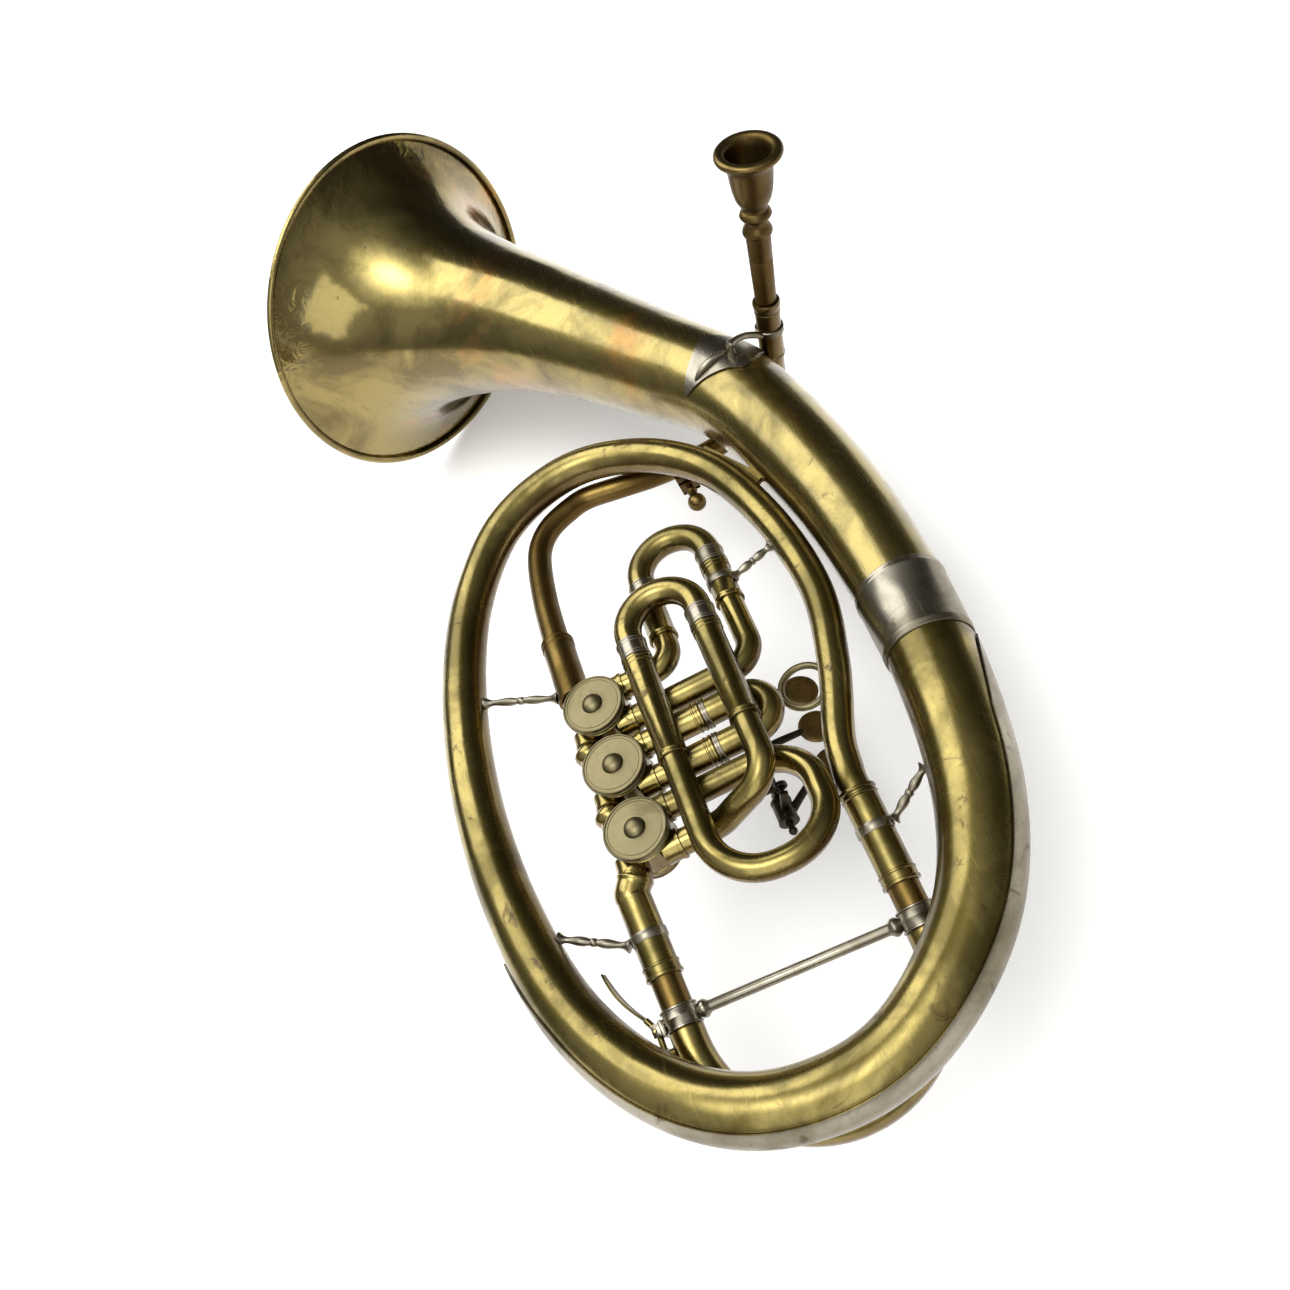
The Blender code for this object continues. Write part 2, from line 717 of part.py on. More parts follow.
def s_tube_line():
    """From the right leg of the tuning slide up into the oval, ending in the slide's plane."""
    entry = [on_leg(SLIDE_RIGHT_X, -SEAM), on_leg(SLIDE_RIGHT_X, -0.004)]
    curve = Line(smooth(entry + [Vector(p).to_3d() for p in OVAL_LINE[:S_TUBE_END + 2]]))
    end = curve.marks[8 * (S_TUBE_END + 2)]
    marks = spaced(0.0, end, 12)
    points = [curve.at(m) for m in marks]
    directions = [SLIDE_UP] + [curve.direction(m) for m in marks[1:]]
    grown = oval_radius(point_mark(S_TUBE_END)) - TAPER_START_RADIUS
    return points, directions, [TAPER_START_RADIUS + grown * m / end for m in marks]


def s_tube():
    points, directions, outer = s_tube_line()
    return pipe(points, outer, [r - SHEET for r in outer], OVAL_SIDES, directions)


def s_tube_space():
    points, directions, outer = s_tube_line()
    points[-1] = points[-1] + directions[-1] * 2 * SEAM
    crosswise = frames(points, directions)
    return ring_chain([(p, *c, r + SEAM) for p, c, r in zip(points, crosswise, outer)],
                      OVAL_SIDES)


def tuning_sleeve(x, length):
    """An outer sleeve with a ring at its top and one at its open end."""
    rise, wide = TUNING_RING_RISE, TUNING_SLEEVE_RADIUS
    ring, last = wide + rise, length - TUNING_END_RING
    profile = [(0, ring), (TUNING_TOP_RING, ring), (TUNING_TOP_RING + rise, wide),
               (last - rise, wide), (last, ring), (length, ring),
               (length, TUNING_SLEEVE_BORE), (TUNING_SOCKET_TOP, TUNING_SLEEVE_BORE),
               (TUNING_SOCKET_TOP, TUBE_BORE), (0, TUBE_BORE)]
    return turned(profile, on_leg(x, 0), SLIDE_DOWN, SLIDE_SIDES, looped=True)


def tuning_crook():
    """Both legs and the bow between them, one bent tube."""
    left_top = LEFT_SLEEVE_LENGTH - TUNING_INSERTED
    right_top = RIGHT_SLEEVE_LENGTH - TUNING_INSERTED
    left_step = CROSS_LEFT_DROP + CLASP_HALF + SEAM
    right_step = CROSS_RIGHT_DROP + CLASP_HALF + SEAM
    middle = (SLIDE_LEFT_X + SLIDE_RIGHT_X) / 2
    reach = (SLIDE_RIGHT_X - SLIDE_LEFT_X) / 2
    wide, narrow = TUNING_SLEEVE_RADIUS, TUNING_LEG_RADIUS
    stations = [(on_leg(SLIDE_LEFT_X, left_top), narrow),
                (on_leg(SLIDE_LEFT_X, left_step), narrow),
                (on_leg(SLIDE_LEFT_X, left_step + SEAM), wide)]
    for k in range(BOW_STEPS + 1):
        turn = math.pi * k / BOW_STEPS
        across = Vector((-math.cos(turn) * reach, 0, 0))
        place = on_leg(middle, TUNING_BOW_DROP) + across
        stations.append((place + SLIDE_DOWN * math.sin(turn) * reach, wide))
    stations += [(on_leg(SLIDE_RIGHT_X, right_step + SEAM), wide),
                 (on_leg(SLIDE_RIGHT_X, right_step), narrow),
                 (on_leg(SLIDE_RIGHT_X, right_top), narrow)]
    points = [p for p, radius in stations]
    outer = [radius for p, radius in stations]
    bore = [0] + list(range(3, BOW_STEPS + 4)) + [len(points) - 1]
    tube = pipe(points, outer, TUNING_LEG_RADIUS - TUNING_LEG_WALL, SLIDE_SIDES,
                side=SLIDE_FACE, bore=bore)
    return combined(tube, joined=[key_nipple()])


def cross_brace():
    """The rod between the legs, with a clasp collar round each leg."""
    inner = clear_of(TUNING_LEG_RADIUS, SLIDE_SIDES)
    half, edge = CLASP_HALF, inner + CLASP_WALL
    collar = [(-half, inner), (-half, edge), (0, inner + CLASP_BELLY), (half, edge),
              (half, inner)]
    left = on_leg(SLIDE_LEFT_X, CROSS_LEFT_DROP)
    right = on_leg(SLIDE_RIGHT_X, CROSS_RIGHT_DROP)
    collars = [turned(collar, foot, SLIDE_DOWN, SLIDE_SIDES, True) for foot in (left, right)]
    along = (right - left).normalized()
    into = inner + CLASP_WALL / 2
    bar = rod(left + along * into, right - along * into, CROSS_ROD_RADIUS)
    return combined(bar, joined=collars + key_saddle())


def key_pivot():
    return on_leg(SLIDE_LEFT_X, KEY_DROP) + Vector((-TUNING_LEG_RADIUS - KEY_STAND, 0, 0))


def key_saddle():
    """The two-eared saddle on the left collar, which carries the water key."""
    pivot = key_pivot()
    turn = Matrix.Rotation(SLIDE_FALL, 3, "X")
    seat = pivot + Vector((KEY_STAND - KEY_SEAT.x, 0, 0))
    shapes = [block(seat, KEY_SEAT, turn)]
    for side in (-1, 1):
        forward = seat.x - pivot.x + KEY_SEAT.x / 2 - KEY_EAR.x / 2
        place = pivot + Vector((forward, 0, 0)) + SLIDE_FACE * side * KEY_EAR_AT
        shapes.append(block(place, KEY_EAR, turn))
    return shapes


def key_nipple():
    """The short drain that the key closes, on the crook's left leg."""
    foot = on_leg(SLIDE_LEFT_X, KEY_DROP + KEY_TAIL)
    start = TUNING_LEG_RADIUS
    end = TUNING_SLEEVE_RADIUS + NIPPLE_HEIGHT
    profile = [(start, NIPPLE_RADIUS), (end, NIPPLE_RADIUS), (end, NIPPLE_BORE),
               (start, NIPPLE_BORE)]
    return turned(profile, foot, Vector((-1, 0, 0)), TUBE_SIDES, looped=True)


def water_key():
    """The key: a barrel between the ears, a thumb blade one way and a pad cup the other."""
    pivot = key_pivot()
    half = SLIDE_FACE * (KEY_EAR_AT - KEY_EAR.z / 2 - RUNNING)
    barrel = rod(pivot - half, pivot + half, KEY_BARREL_RADIUS)
    pad_face = TUNING_SLEEVE_RADIUS + NIPPLE_HEIGHT + SEAM
    pad = on_leg(SLIDE_LEFT_X, KEY_DROP + KEY_TAIL) - Vector((pad_face, 0, 0))
    cup = turned([(0, KEY_PAD_RADIUS), (KEY_PAD_HEIGHT - SHOULDER, KEY_PAD_RADIUS),
                  (KEY_PAD_HEIGHT, KEY_PAD_RADIUS - 2 * SHOULDER)], pad, Vector((-1, 0, 0)))
    tail = rod(pivot, pad - Vector((KEY_PAD_HEIGHT / 2, 0, 0)), KEY_ARM_RADIUS)
    knee = pivot + Vector((-KEY_KNEE_OUT, 0, 0)) + SLIDE_UP * KEY_KNEE
    tip = pivot + Vector((-KEY_TIP_OUT, 0, 0)) + SLIDE_UP * KEY_BLADE
    neck = rod(pivot, knee, KEY_ARM_RADIUS)
    blade = bmesh.new()
    rows = []
    for share, part in ((0, 0.4), (0.35, 0.9), (0.75, 1), (1, 0.35)):
        centre = knee.lerp(tip, share)
        corners = [centre + SLIDE_FACE * side * part * KEY_PAD_RADIUS + Vector((lift, 0, 0))
                   for side, lift in ((-1, 0), (1, 0), (1, KEY_SHEET), (-1, KEY_SHEET))]
        rows.append([blade.verts.new(c) for c in corners])
    for first, second in zip(rows, rows[1:]):
        for k in range(4):
            blade.faces.new((first[k], first[(k + 1) % 4], second[(k + 1) % 4], second[k]))
    blade.faces.new(rows[0])
    blade.faces.new(rows[-1])
    bmesh.ops.recalc_face_normals(blade, faces=blade.faces)
    return combined(barrel, joined=[cup, tail, neck, blade])


def build_tuning_slide(horn, brass, nickel):
    horn.add("s_tube", s_tube(), brass)
    left = tuning_sleeve(SLIDE_LEFT_X, LEFT_SLEEVE_LENGTH)
    right = tuning_sleeve(SLIDE_RIGHT_X, RIGHT_SLEEVE_LENGTH)
    horn.add("tuning_sleeve_left", left, brass, on_leg(SLIDE_LEFT_X, 0))
    horn.add("tuning_sleeve_right", right, brass, on_leg(SLIDE_RIGHT_X, 0))
    origin = on_leg((SLIDE_LEFT_X + SLIDE_RIGHT_X) / 2, TUNING_BOW_DROP)
    horn.add("tuning_crook", tuning_crook(), brass, origin)
    horn.add("tuning_cross_brace", cross_brace(), nickel, origin)
    horn.add("water_key", water_key(), brass, key_pivot())


# Valves

def valve_centre(number):
    return Vector((VALVE_X, FIRST_VALVE_Y - VALVE_PITCH * number, 0))


def casing():
    """An open drum with four port stubs: two on the right, one up and one down on the left."""
    centre = Vector((0, 0, 0))
    drum = turned([(CASING_BOTTOM, CASING_RADIUS), (CASING_TOP, CASING_RADIUS)], centre, UP,
                  DRUM_SIDES)
    stubs = []
    bores = [turned([(CASING_BOTTOM - SEAM, CASING_BORE), (CASING_TOP + SEAM, CASING_BORE)],
                    centre, UP, DRUM_SIDES)]
    for side in (-1, 1):
        for foot, along, reach in ((Vector((STUB_ROOT, side * PORT, 0)), Vector((1, 0, 0)),
                                    STUB_END),
                                   (Vector((-PORT, side * STUB_ROOT, 0)), Vector((0, side, 0)),
                                    STUB_REACH)):
            length = reach - STUB_ROOT
            stubs.append(turned([(0, STUB_RADIUS), (length, STUB_RADIUS)], foot, along))
            bores.append(turned([(0, TUBE_BORE), (length + SEAM, TUBE_BORE)], foot, along))
    return combined(drum, joined=stubs, cut=bores)


def rotor():
    """The turning plug: two curved passages and a spindle to the crank."""
    radius = CASING_BORE * math.cos(math.pi / DRUM_SIDES) - RUNNING
    low = CASING_BOTTOM + ROTOR_END_PLAY
    high = CASING_TOP - ROTOR_END_PLAY
    body = turned([(ARM_LOW, SPINDLE_RADIUS), (low, SPINDLE_RADIUS), (low, radius),
                   (high, radius)], Vector((0, 0, 0)), UP, DRUM_SIDES)
    passages = []
    reach = radius * math.sqrt(2)
    for side in (-1, 1):
        middle = Vector((side * reach, 0, 0))
        arc = []
        for k in range(-2, 3):
            turn = math.radians((0 if side < 0 else 180) + 27 * k)
            arc.append(middle + Vector((math.cos(turn), math.sin(turn), 0)) * radius)
        crosswise = frames(arc)
        groove = [(p, *c, PASSAGE_BORE) for p, c in zip(arc, crosswise)]
        passages.append(ring_chain(groove, SMALL_SIDES))
    return combined(body, cut=passages)


def cap():
    """The screwed cap: a flat disc in a rim, with a domed boss."""
    foot = CASING_TOP + SEAM
    top = foot + CAP_HEIGHT
    face = top - CAP_SINK
    profile = [(foot, CAP_RADIUS - CAP_CHAMFER), (foot + CAP_CHAMFER, CAP_RADIUS),
               (face, CAP_RADIUS), (top, CAP_RADIUS - CAP_CHAMFER),
               (face, CAP_RADIUS - CAP_LIP), (face, CAP_BOSS_RADIUS + CAP_SINK),
               (top + CAP_SINK, CAP_BOSS_RADIUS)]
    for k in range(1, 4):
        turn = math.radians(25 * k)
        profile.append((top + CAP_SINK + CAP_BOSS_HEIGHT * math.sin(turn),
                        CAP_BOSS_RADIUS * math.cos(turn)))
    return turned(profile, Vector((0, 0, 0)), UP, DRUM_SIDES)


def back_bearing():
    """The plate that carries the spindle, with the two posts that stop the crank."""
    top = CASING_BOTTOM - SEAM
    low = top - BEARING_THICKNESS
    hole = SPINDLE_RADIUS + RUNNING
    plate = turned([(low, hole), (low, CASING_RADIUS - BEARING_CHAMFER),
                    (low + BEARING_CHAMFER, CASING_RADIUS), (top, CASING_RADIUS),
                    (top, hole)], Vector((0, 0, 0)), UP, DRUM_SIDES, looped=True)
    posts = []
    sweep = math.asin((ARM_WIDTH / 2 + STOP_POST_RADIUS + SEAM) / STOP_POST_REACH)
    for finger, side in ((math.radians(225), -1), (math.radians(315), 1)):
        turn = finger + side * sweep
        place = Vector((math.cos(turn), math.sin(turn), 0)) * STOP_POST_REACH
        start = place + UP * (low + BEARING_CHAMFER / 2)
        posts.append(rod(start, place + UP * ARM_LOW, STOP_POST_RADIUS))
    return combined(plate, joined=posts)


def crank_pin(turn=CRANK_REST):
    return Vector((math.cos(turn), math.sin(turn), 0)) * CRANK


def stop_arm():
    """The crank on the spindle: a hub, the link's pin on one side and the stop finger."""
    top, low = ARM_TOP, ARM_LOW
    hub = rod(UP * low, UP * top, HUB_RADIUS, TUBE_SIDES)
    finger_end = STOP_POST_REACH + STOP_POST_RADIUS
    middle = (CRANK + ARM_TIP - finger_end) / 2
    length = CRANK + ARM_TIP + finger_end
    turn = Matrix.Rotation(CRANK_REST, 3, "Z")
    bar = block(turn @ Vector((middle, 0, 0)) + UP * (top + low) / 2,
                Vector((length, ARM_WIDTH, ARM_THICKNESS - SEAM)), turn)
    pin_low = LINK_Z - EYE_THICKNESS / 2 - PIN_HEAD
    pin = rod(crank_pin() + UP * pin_low, crank_pin() + UP * (top + low) / 2, PIN_RADIUS)
    hole = rod(UP * (low - SEAM), UP * (top + SEAM), clear_of(SPINDLE_RADIUS, TUBE_SIDES),
               TUBE_SIDES)
    return combined(hub, joined=[bar, pin], cut=[hole])


def knuckle(number):
    """The short swollen elbow that leads from one valve into the next."""
    upper, lower = valve_centre(number), valve_centre(number + 1)
    reach = STUB_REACH + SEAM
    start = upper + Vector((-PORT, -reach, 0))
    end = lower + Vector((-PORT, reach, 0))
    points, radii = [], []
    for k in range(5):
        share = k / 4
        swell = math.sin(math.pi * share)
        points.append(start.lerp(end, share) - Vector((KNUCKLE_BULGE * swell, 0, 0)))
        radii.append(STUB_RADIUS + KNUCKLE_SWELL * swell)
    down = [Vector((0, -1, 0))] * 5
    return pipe(points, radii, TUBE_BORE, TUBE_SIDES, down)


def build_valves(horn, brass, cap_metal, steel):
    drum, plug, lid, plate, crank = casing(), rotor(), cap(), back_bearing(), stop_arm()
    for number in range(3):
        centre = valve_centre(number)
        for name, shape, material in (("valve_casing", drum, brass), ("rotor", plug, brass),
                                      ("valve_cap", lid, cap_metal),
                                      ("back_bearing", plate, brass),
                                      ("stop_arm", crank, steel)):
            copy = shape.copy()
            bmesh.ops.translate(copy, vec=centre, verts=copy.verts)
            horn.add(f"{name}_{number + 1}", copy, material, centre)
    for shape in (drum, plug, lid, plate, crank):
        shape.free()
    for number in range(2):
        horn.add(f"knuckle_{number + 1}", knuckle(number), brass, valve_centre(number))
    horn.add("outlet_elbow", outlet_elbow(), brass, valve_centre(2))


def outlet_elbow():
    """From the third valve's lower stub to the top of the left tuning sleeve."""
    start = valve_centre(2) + Vector((-PORT, -STUB_REACH - SEAM, 0))
    end = on_leg(SLIDE_LEFT_X, -SEAM)
    points, directions = [], []
    for k in range(6):
        share = k / 5
        eased = share * share * (3 - 2 * share)
        place = start.lerp(end, share)
        place.x = start.x + (end.x - start.x) * eased
        points.append(place)
        directions.append(Vector((0, -1, 0)).lerp(SLIDE_DOWN, share).normalized())
    return pipe(points, STUB_RADIUS, TUBE_BORE, TUBE_SIDES, directions)


FERRULE_RADIUS = clear_of(STUB_RADIUS, TUBE_SIDES) + LEADPIPE_FERRULE_WALL


# Valve slides: each has two fixed sleeves and a crook that pulls out of them

def port_start(number, side):
    return valve_centre(number) + Vector((STUB_END + SEAM, side * PORT, 0))


def sleeve(route, sleeve_length):
    """A bent tube that widens into a sleeve over the last part of its route."""
    end = route[-1]
    back = (route[-2] - end).normalized()
    step = end + back * sleeve_length
    points = [end, end + back * SLEEVE_RING, end + back * (SLEEVE_RING + COLLAR_RISE),
              step - back * SHOULDER, step]
    points += route[-2::-1]
    outer = [COLLAR_RADIUS, COLLAR_RADIUS, SLEEVE_RADIUS, SLEEVE_RADIUS]
    outer += [TUBE_RADIUS] * (len(points) - 4)
    inner = [SLEEVE_BORE] * 4 + [TUBE_BORE] * (len(points) - 4)
    return pipe(points, outer, inner, bore=[0] + list(range(3, len(points))))


def crook(left, right, ahead, leg, bow_reach):
    """The moving bow: legs that run back into the sleeves, a collar on each and the bow."""
    middle = (left + right) / 2
    reach = (right - left).length / 2
    across = (left - right).normalized()
    half = [(-leg, TUBE_RADIUS), (SEAM, TUBE_RADIUS), (SEAM, COLLAR_RADIUS),
            (COLLAR_LENGTH - COLLAR_RISE, COLLAR_RADIUS), (COLLAR_LENGTH, BOW_RADIUS)]
    stations = [(left + ahead * along, ahead, radius) for along, radius in half]
    arc = 6
    for k in range(0 if bow_reach > COLLAR_LENGTH else 1, arc + 1):
        turn = math.pi * k / arc
        spoke = across * math.cos(turn) + ahead * math.sin(turn)
        tangent = ahead * math.cos(turn) - across * math.sin(turn)
        stations.append((middle + ahead * bow_reach + spoke * reach, tangent, BOW_RADIUS))
    if bow_reach <= COLLAR_LENGTH:
        stations.pop()
    stations += [(right + ahead * along, -ahead, radius) for along, radius in half[::-1]]
    points = [p for p, along, radius in stations]
    directions = [along for p, along, radius in stations]
    outer = [radius for p, along, radius in stations]
    bore = [0] + list(range(4, len(points) - 4)) + [len(points) - 1]
    return pipe(points, outer, TUBE_BORE, TUBE_SIDES, directions, UP, bore)


def build_slides(horn, brass):
    first_left = bent([port_start(0, 1),
                       Vector((FIRST_SLIDE_LEFT_X, FIRST_VALVE_Y + PORT, 0)),
                       Vector((FIRST_SLIDE_LEFT_X, FIRST_SLEEVE_TOP, 0))], [FIRST_LEFT_BEND])
    first_right = bent([port_start(0, -1),
                        Vector((FIRST_SLIDE_RIGHT_X, FIRST_VALVE_Y - PORT, 0)),
                        Vector((FIRST_SLIDE_RIGHT_X, FIRST_SLEEVE_TOP, 0))],
                       [FIRST_RIGHT_BEND])
    horn.add("slide_1_left_sleeve", sleeve(first_left, FIRST_LEG + FIRST_LEFT_SPARE),
             brass)
    horn.add("slide_1_right_sleeve", sleeve(first_right, FIRST_LEG + FIRST_RIGHT_SPARE),
             brass)
    forward = Vector((0, 1, 0))
    first = crook(first_left[-1], first_right[-1], forward, FIRST_LEG,
                  FIRST_BOW_Y - FIRST_SLEEVE_TOP)
    horn.add("slide_1_crook", first, brass, first_left[-1])

    ends = []
    for side, name in ((1, "upper"), (-1, "lower")):
        start = port_start(1, side)
        end = Vector((SECOND_SLEEVE_END_X, start.y, 0))
        horn.add(f"slide_2_{name}_sleeve", sleeve([start, end], SECOND_LEG + SECOND_SPARE),
                 brass)
        ends.append(end)
    reach = SECOND_BOW_X - SECOND_SLEEVE_END_X
    second = crook(ends[0], ends[1], Vector((1, 0, 0)), SECOND_LEG, reach)
    horn.add("slide_2_crook", second, brass, ends[0])

    curl = bent([port_start(2, 1), Vector((CURL_RIGHT_X, valve_centre(2).y + PORT, 0)),
                 Vector((CURL_RIGHT_X, CURL_BOTTOM_Y, CURL_BOTTOM_Z)),
                 Vector((THIRD_SLIDE_LEFT_X, CURL_BOTTOM_Y, THIRD_SLIDE_Z)),
                 Vector((THIRD_SLIDE_LEFT_X, THIRD_SLEEVE_TOP, THIRD_SLIDE_Z))],
                CURL_BENDS)
    dip = valve_centre(2).y - PORT
    turn = bent([port_start(2, -1), Vector((THIRD_DIP_X, dip, 0)),
                 Vector((THIRD_SLIDE_RIGHT_X, dip + THIRD_DIP_RISE, THIRD_SLIDE_Z)),
                 Vector((THIRD_SLIDE_RIGHT_X, THIRD_SLEEVE_TOP, THIRD_SLIDE_Z))],
                THIRD_DIP_BENDS)
    horn.add("slide_3_left_sleeve", sleeve(curl, THIRD_LEG + THIRD_LEFT_SPARE), brass)
    horn.add("slide_3_right_sleeve", sleeve(turn, THIRD_LEG + THIRD_RIGHT_SPARE), brass)
    third = crook(curl[-1], turn[-1], forward, THIRD_LEG, THIRD_BOW_Y - THIRD_SLEEVE_TOP)
    horn.add("slide_3_crook", third, brass, curl[-1])


# Lever rack: drums on one axle, each with a touch and an arm that pushes its link

def link_y(number):
    return valve_centre(number).y + crank_pin().y


def arm_end(number):
    lean = Vector((math.sin(LEVER_REST), 0, math.cos(LEVER_REST))) * LEVER_ARM
    return Vector((AXLE_X, link_y(number), AXLE_Z)) + lean


def washer(centre, along, radius, hole, thickness):
    profile = [(-thickness / 2, hole), (-thickness / 2, radius), (thickness / 2, radius),
               (thickness / 2, hole)]
    return turned(profile, centre, along, TUBE_SIDES, looped=True)


def lever(number):
    y = link_y(number)
    axis = Vector((0, 1, 0))
    middle = Vector((AXLE_X, y + DRUM_SHIFT, AXLE_Z))
    drum = rod(middle - axis * DRUM_LENGTH / 2, middle + axis * DRUM_LENGTH / 2, DRUM_RADIUS,
               TUBE_SIDES)
    plate_y = y - LEVER_PLATE_BACK
    tip = arm_end(number)
    top = Vector((tip.x, plate_y, tip.z))
    foot = Vector((AXLE_X, plate_y, AXLE_Z))
    lean = Matrix.Rotation(LEVER_REST, 3, "Y")
    arm = block(foot.lerp(top, 0.55), LEVER_PLATE, lean)
    pin_end = y + FAR_EYE_SHIFT + EYE_THICKNESS / 2 + PIN_HEAD
    pin = rod(top, Vector((top.x, pin_end, top.z)), PIN_RADIUS)
    touch_y = valve_centre(1).y + crank_pin().y + TOUCH_PITCH * (1 - number)
    fall = Vector((math.cos(LEVER_REST), 0, -math.sin(LEVER_REST)))
    plate = Vector((AXLE_X, touch_y, AXLE_Z)) + fall * TOUCH_REACH
    root = middle + fall * (DRUM_RADIUS - STEM_RADIUS)
    neck = plate - fall * (TOUCH_RADIUS - STEM_RADIUS)
    lift = Vector((math.sin(LEVER_REST), 0, math.cos(LEVER_REST)))
    stem = rod(root, neck, STEM_RADIUS)
    edge, half = TOUCH_RADIUS - TOUCH_SHEET / 4, TOUCH_SHEET / 2
    disc = turned([(-half, edge), (0, TOUCH_RADIUS), (half, edge)], plate, lift, TUBE_SIDES)
    hole = rod(middle - axis * DRUM_LENGTH, middle + axis * DRUM_LENGTH,
               AXLE_RADIUS + RUNNING, TUBE_SIDES)
    return combined(drum, joined=[arm, pin, stem, disc], cut=[hole])


def link(number):
    """The push rod: an eye on the crank's pin and an open eye round the lever's pin."""
    pin = valve_centre(number) + crank_pin() + UP * LINK_Z
    end = Vector((arm_end(number).x, pin.y + FAR_EYE_SHIFT, LINK_Z))
    along = (end - pin).normalized()
    far_hole = PIN_RADIUS + FAR_EYE_PLAY
    far_radius = EYE_RADIUS + FAR_EYE_PLAY - RUNNING
    near = washer(pin, UP, EYE_RADIUS, PIN_RADIUS + RUNNING, EYE_THICKNESS)
    far = washer(end, Vector((0, 1, 0)), far_radius, far_hole, EYE_THICKNESS)
    wall = EYE_RADIUS - PIN_RADIUS - RUNNING
    bar = rod(pin + along * (EYE_RADIUS - wall / 2), end - along * (far_radius - wall / 2),
              LINK_RADIUS)
    return combined(bar, joined=[near, far])


def lever_rack():
    """The axle and the two posts that hang it from the first and last cross tubes."""
    beyond = DRUM_LENGTH / 2 + AXLE_OVERHANG
    start = Vector((AXLE_X, link_y(0) + DRUM_SHIFT + beyond, AXLE_Z))
    end = Vector((AXLE_X, link_y(2) + DRUM_SHIFT - beyond, AXLE_Z))
    axle = rod(start, end, AXLE_RADIUS, TUBE_SIDES)
    posts = []
    for y in (valve_centre(0).y - PORT, valve_centre(2).y + PORT):
        foot = Vector((AXLE_X, y, -TUBE_RADIUS - SEAM))
        drop = foot.z - AXLE_Z
        profile = [(0, POST_FOOT_RADIUS), (POST_FOOT_HEIGHT / 2, POST_FOOT_RADIUS),
                   (POST_FOOT_HEIGHT, POST_RADIUS), (drop + AXLE_RADIUS + SHOULDER, POST_RADIUS)]
        posts.append(turned(profile, foot, -UP, SMALL_SIDES))
    return combined(axle, joined=posts)


def build_levers(horn, brass, steel, nickel):
    horn.add("lever_rack", lever_rack(), steel, Vector((AXLE_X, link_y(1), AXLE_Z)))
    for number in range(3):
        hub = Vector((AXLE_X, link_y(number), AXLE_Z))
        pin = valve_centre(number) + crank_pin() + UP * LINK_Z
        horn.add(f"lever_{number + 1}", lever(number), nickel, hub)
        horn.add(f"link_{number + 1}", link(number), steel, pin)


# Leadpipe, receiver and mouthpiece

MOUTH_AXIS = Vector((math.sin(RECEIVER_LEAN), 0, math.cos(RECEIVER_LEAN)))


RECEIVER_RADIUS = clear_of(SHANK_RADIUS, TUBE_SIDES) + RECEIVER_WALL


def receiver_foot():
    """The middle of the receiver, beside the outer side of the bell."""
    mark = from_rim(RECEIVER_AT)
    beside = oval_surface(mark, math.radians(90), RECEIVER_RADIUS + RECEIVER_GAP)
    return beside + UP * RECEIVER_Z


def on_mouth_axis(height):
    return receiver_foot() + MOUTH_AXIS * height


def leadpipe():
    """A slowly widening tube from the receiver, under the bell, to the first valve."""
    inlet = valve_centre(0) + Vector((-PORT, STUB_REACH + SEAM, 0))
    drop = on_mouth_axis(RECEIVER_LOW - SEAM)
    bend = [receiver_foot() + Vector(step) for step in LEADPIPE_BEND]
    curve = Line(smooth([drop] + bend + list(LEADPIPE_LINE) + [inlet + LEADPIPE_LEAN], 6))
    marks = spaced(0.0, curve.length, 17)
    points = [curve.at(m) for m in marks] + [inlet.lerp(inlet + LEADPIPE_LEAN, 0.5), inlet]
    directions = [-MOUTH_AXIS] + [curve.direction(m) for m in marks[1:-1]]
    directions += [-LEADPIPE_LEAN.normalized()] * 2 + [Vector((0, -1, 0))]
    grown = STUB_RADIUS - LEADPIPE_START_RADIUS
    outer = [LEADPIPE_START_RADIUS + grown * m / curve.length for m in marks] + [STUB_RADIUS] * 2
    return pipe(points, outer, [r - SHEET for r in outer], TUBE_SIDES, directions)


def leadpipe_ferrule():
    """The sleeve over the last stretch of the leadpipe, above the first valve."""
    inlet = valve_centre(0) + Vector((-PORT, STUB_REACH + SEAM, 0))
    inner = clear_of(STUB_RADIUS, TUBE_SIDES)
    foot, top, wide = LEADPIPE_FERRULE_FOOT, LEADPIPE_FERRULE_TOP, FERRULE_RADIUS
    lip = LEADPIPE_FERRULE_WALL / 2
    profile = [(foot, inner), (foot, wide), (top - 4 * lip, wide), (top, inner + lip),
               (top, inner)]
    return turned(profile, inlet, LEADPIPE_LEAN, TUBE_SIDES, looped=True)


def receiver():
    """The socket for the mouthpiece: a ring at its mouth and a ring at its foot."""
    high, low, wide = RECEIVER_HIGH, RECEIVER_LOW, RECEIVER_RADIUS
    rise = RECEIVER_RING_RISE
    ring, mouth = wide + rise, high - RECEIVER_MOUTH_RING
    bore = clear_of(SHANK_RADIUS, TUBE_SIDES)
    seat = high - SHANK_INSERTED - RECEIVER_FOOT_RING
    profile = [(low, ring), (low + RECEIVER_FOOT_RING, ring),
               (low + RECEIVER_FOOT_RING + rise, wide), (mouth - rise, wide), (mouth, ring),
               (high, ring), (high, bore), (seat, bore), (seat, bore - SHOULDER),
               (low, bore - SHOULDER)]
    return turned(profile, on_mouth_axis(0), MOUTH_AXIS, TUBE_SIDES, looped=True)


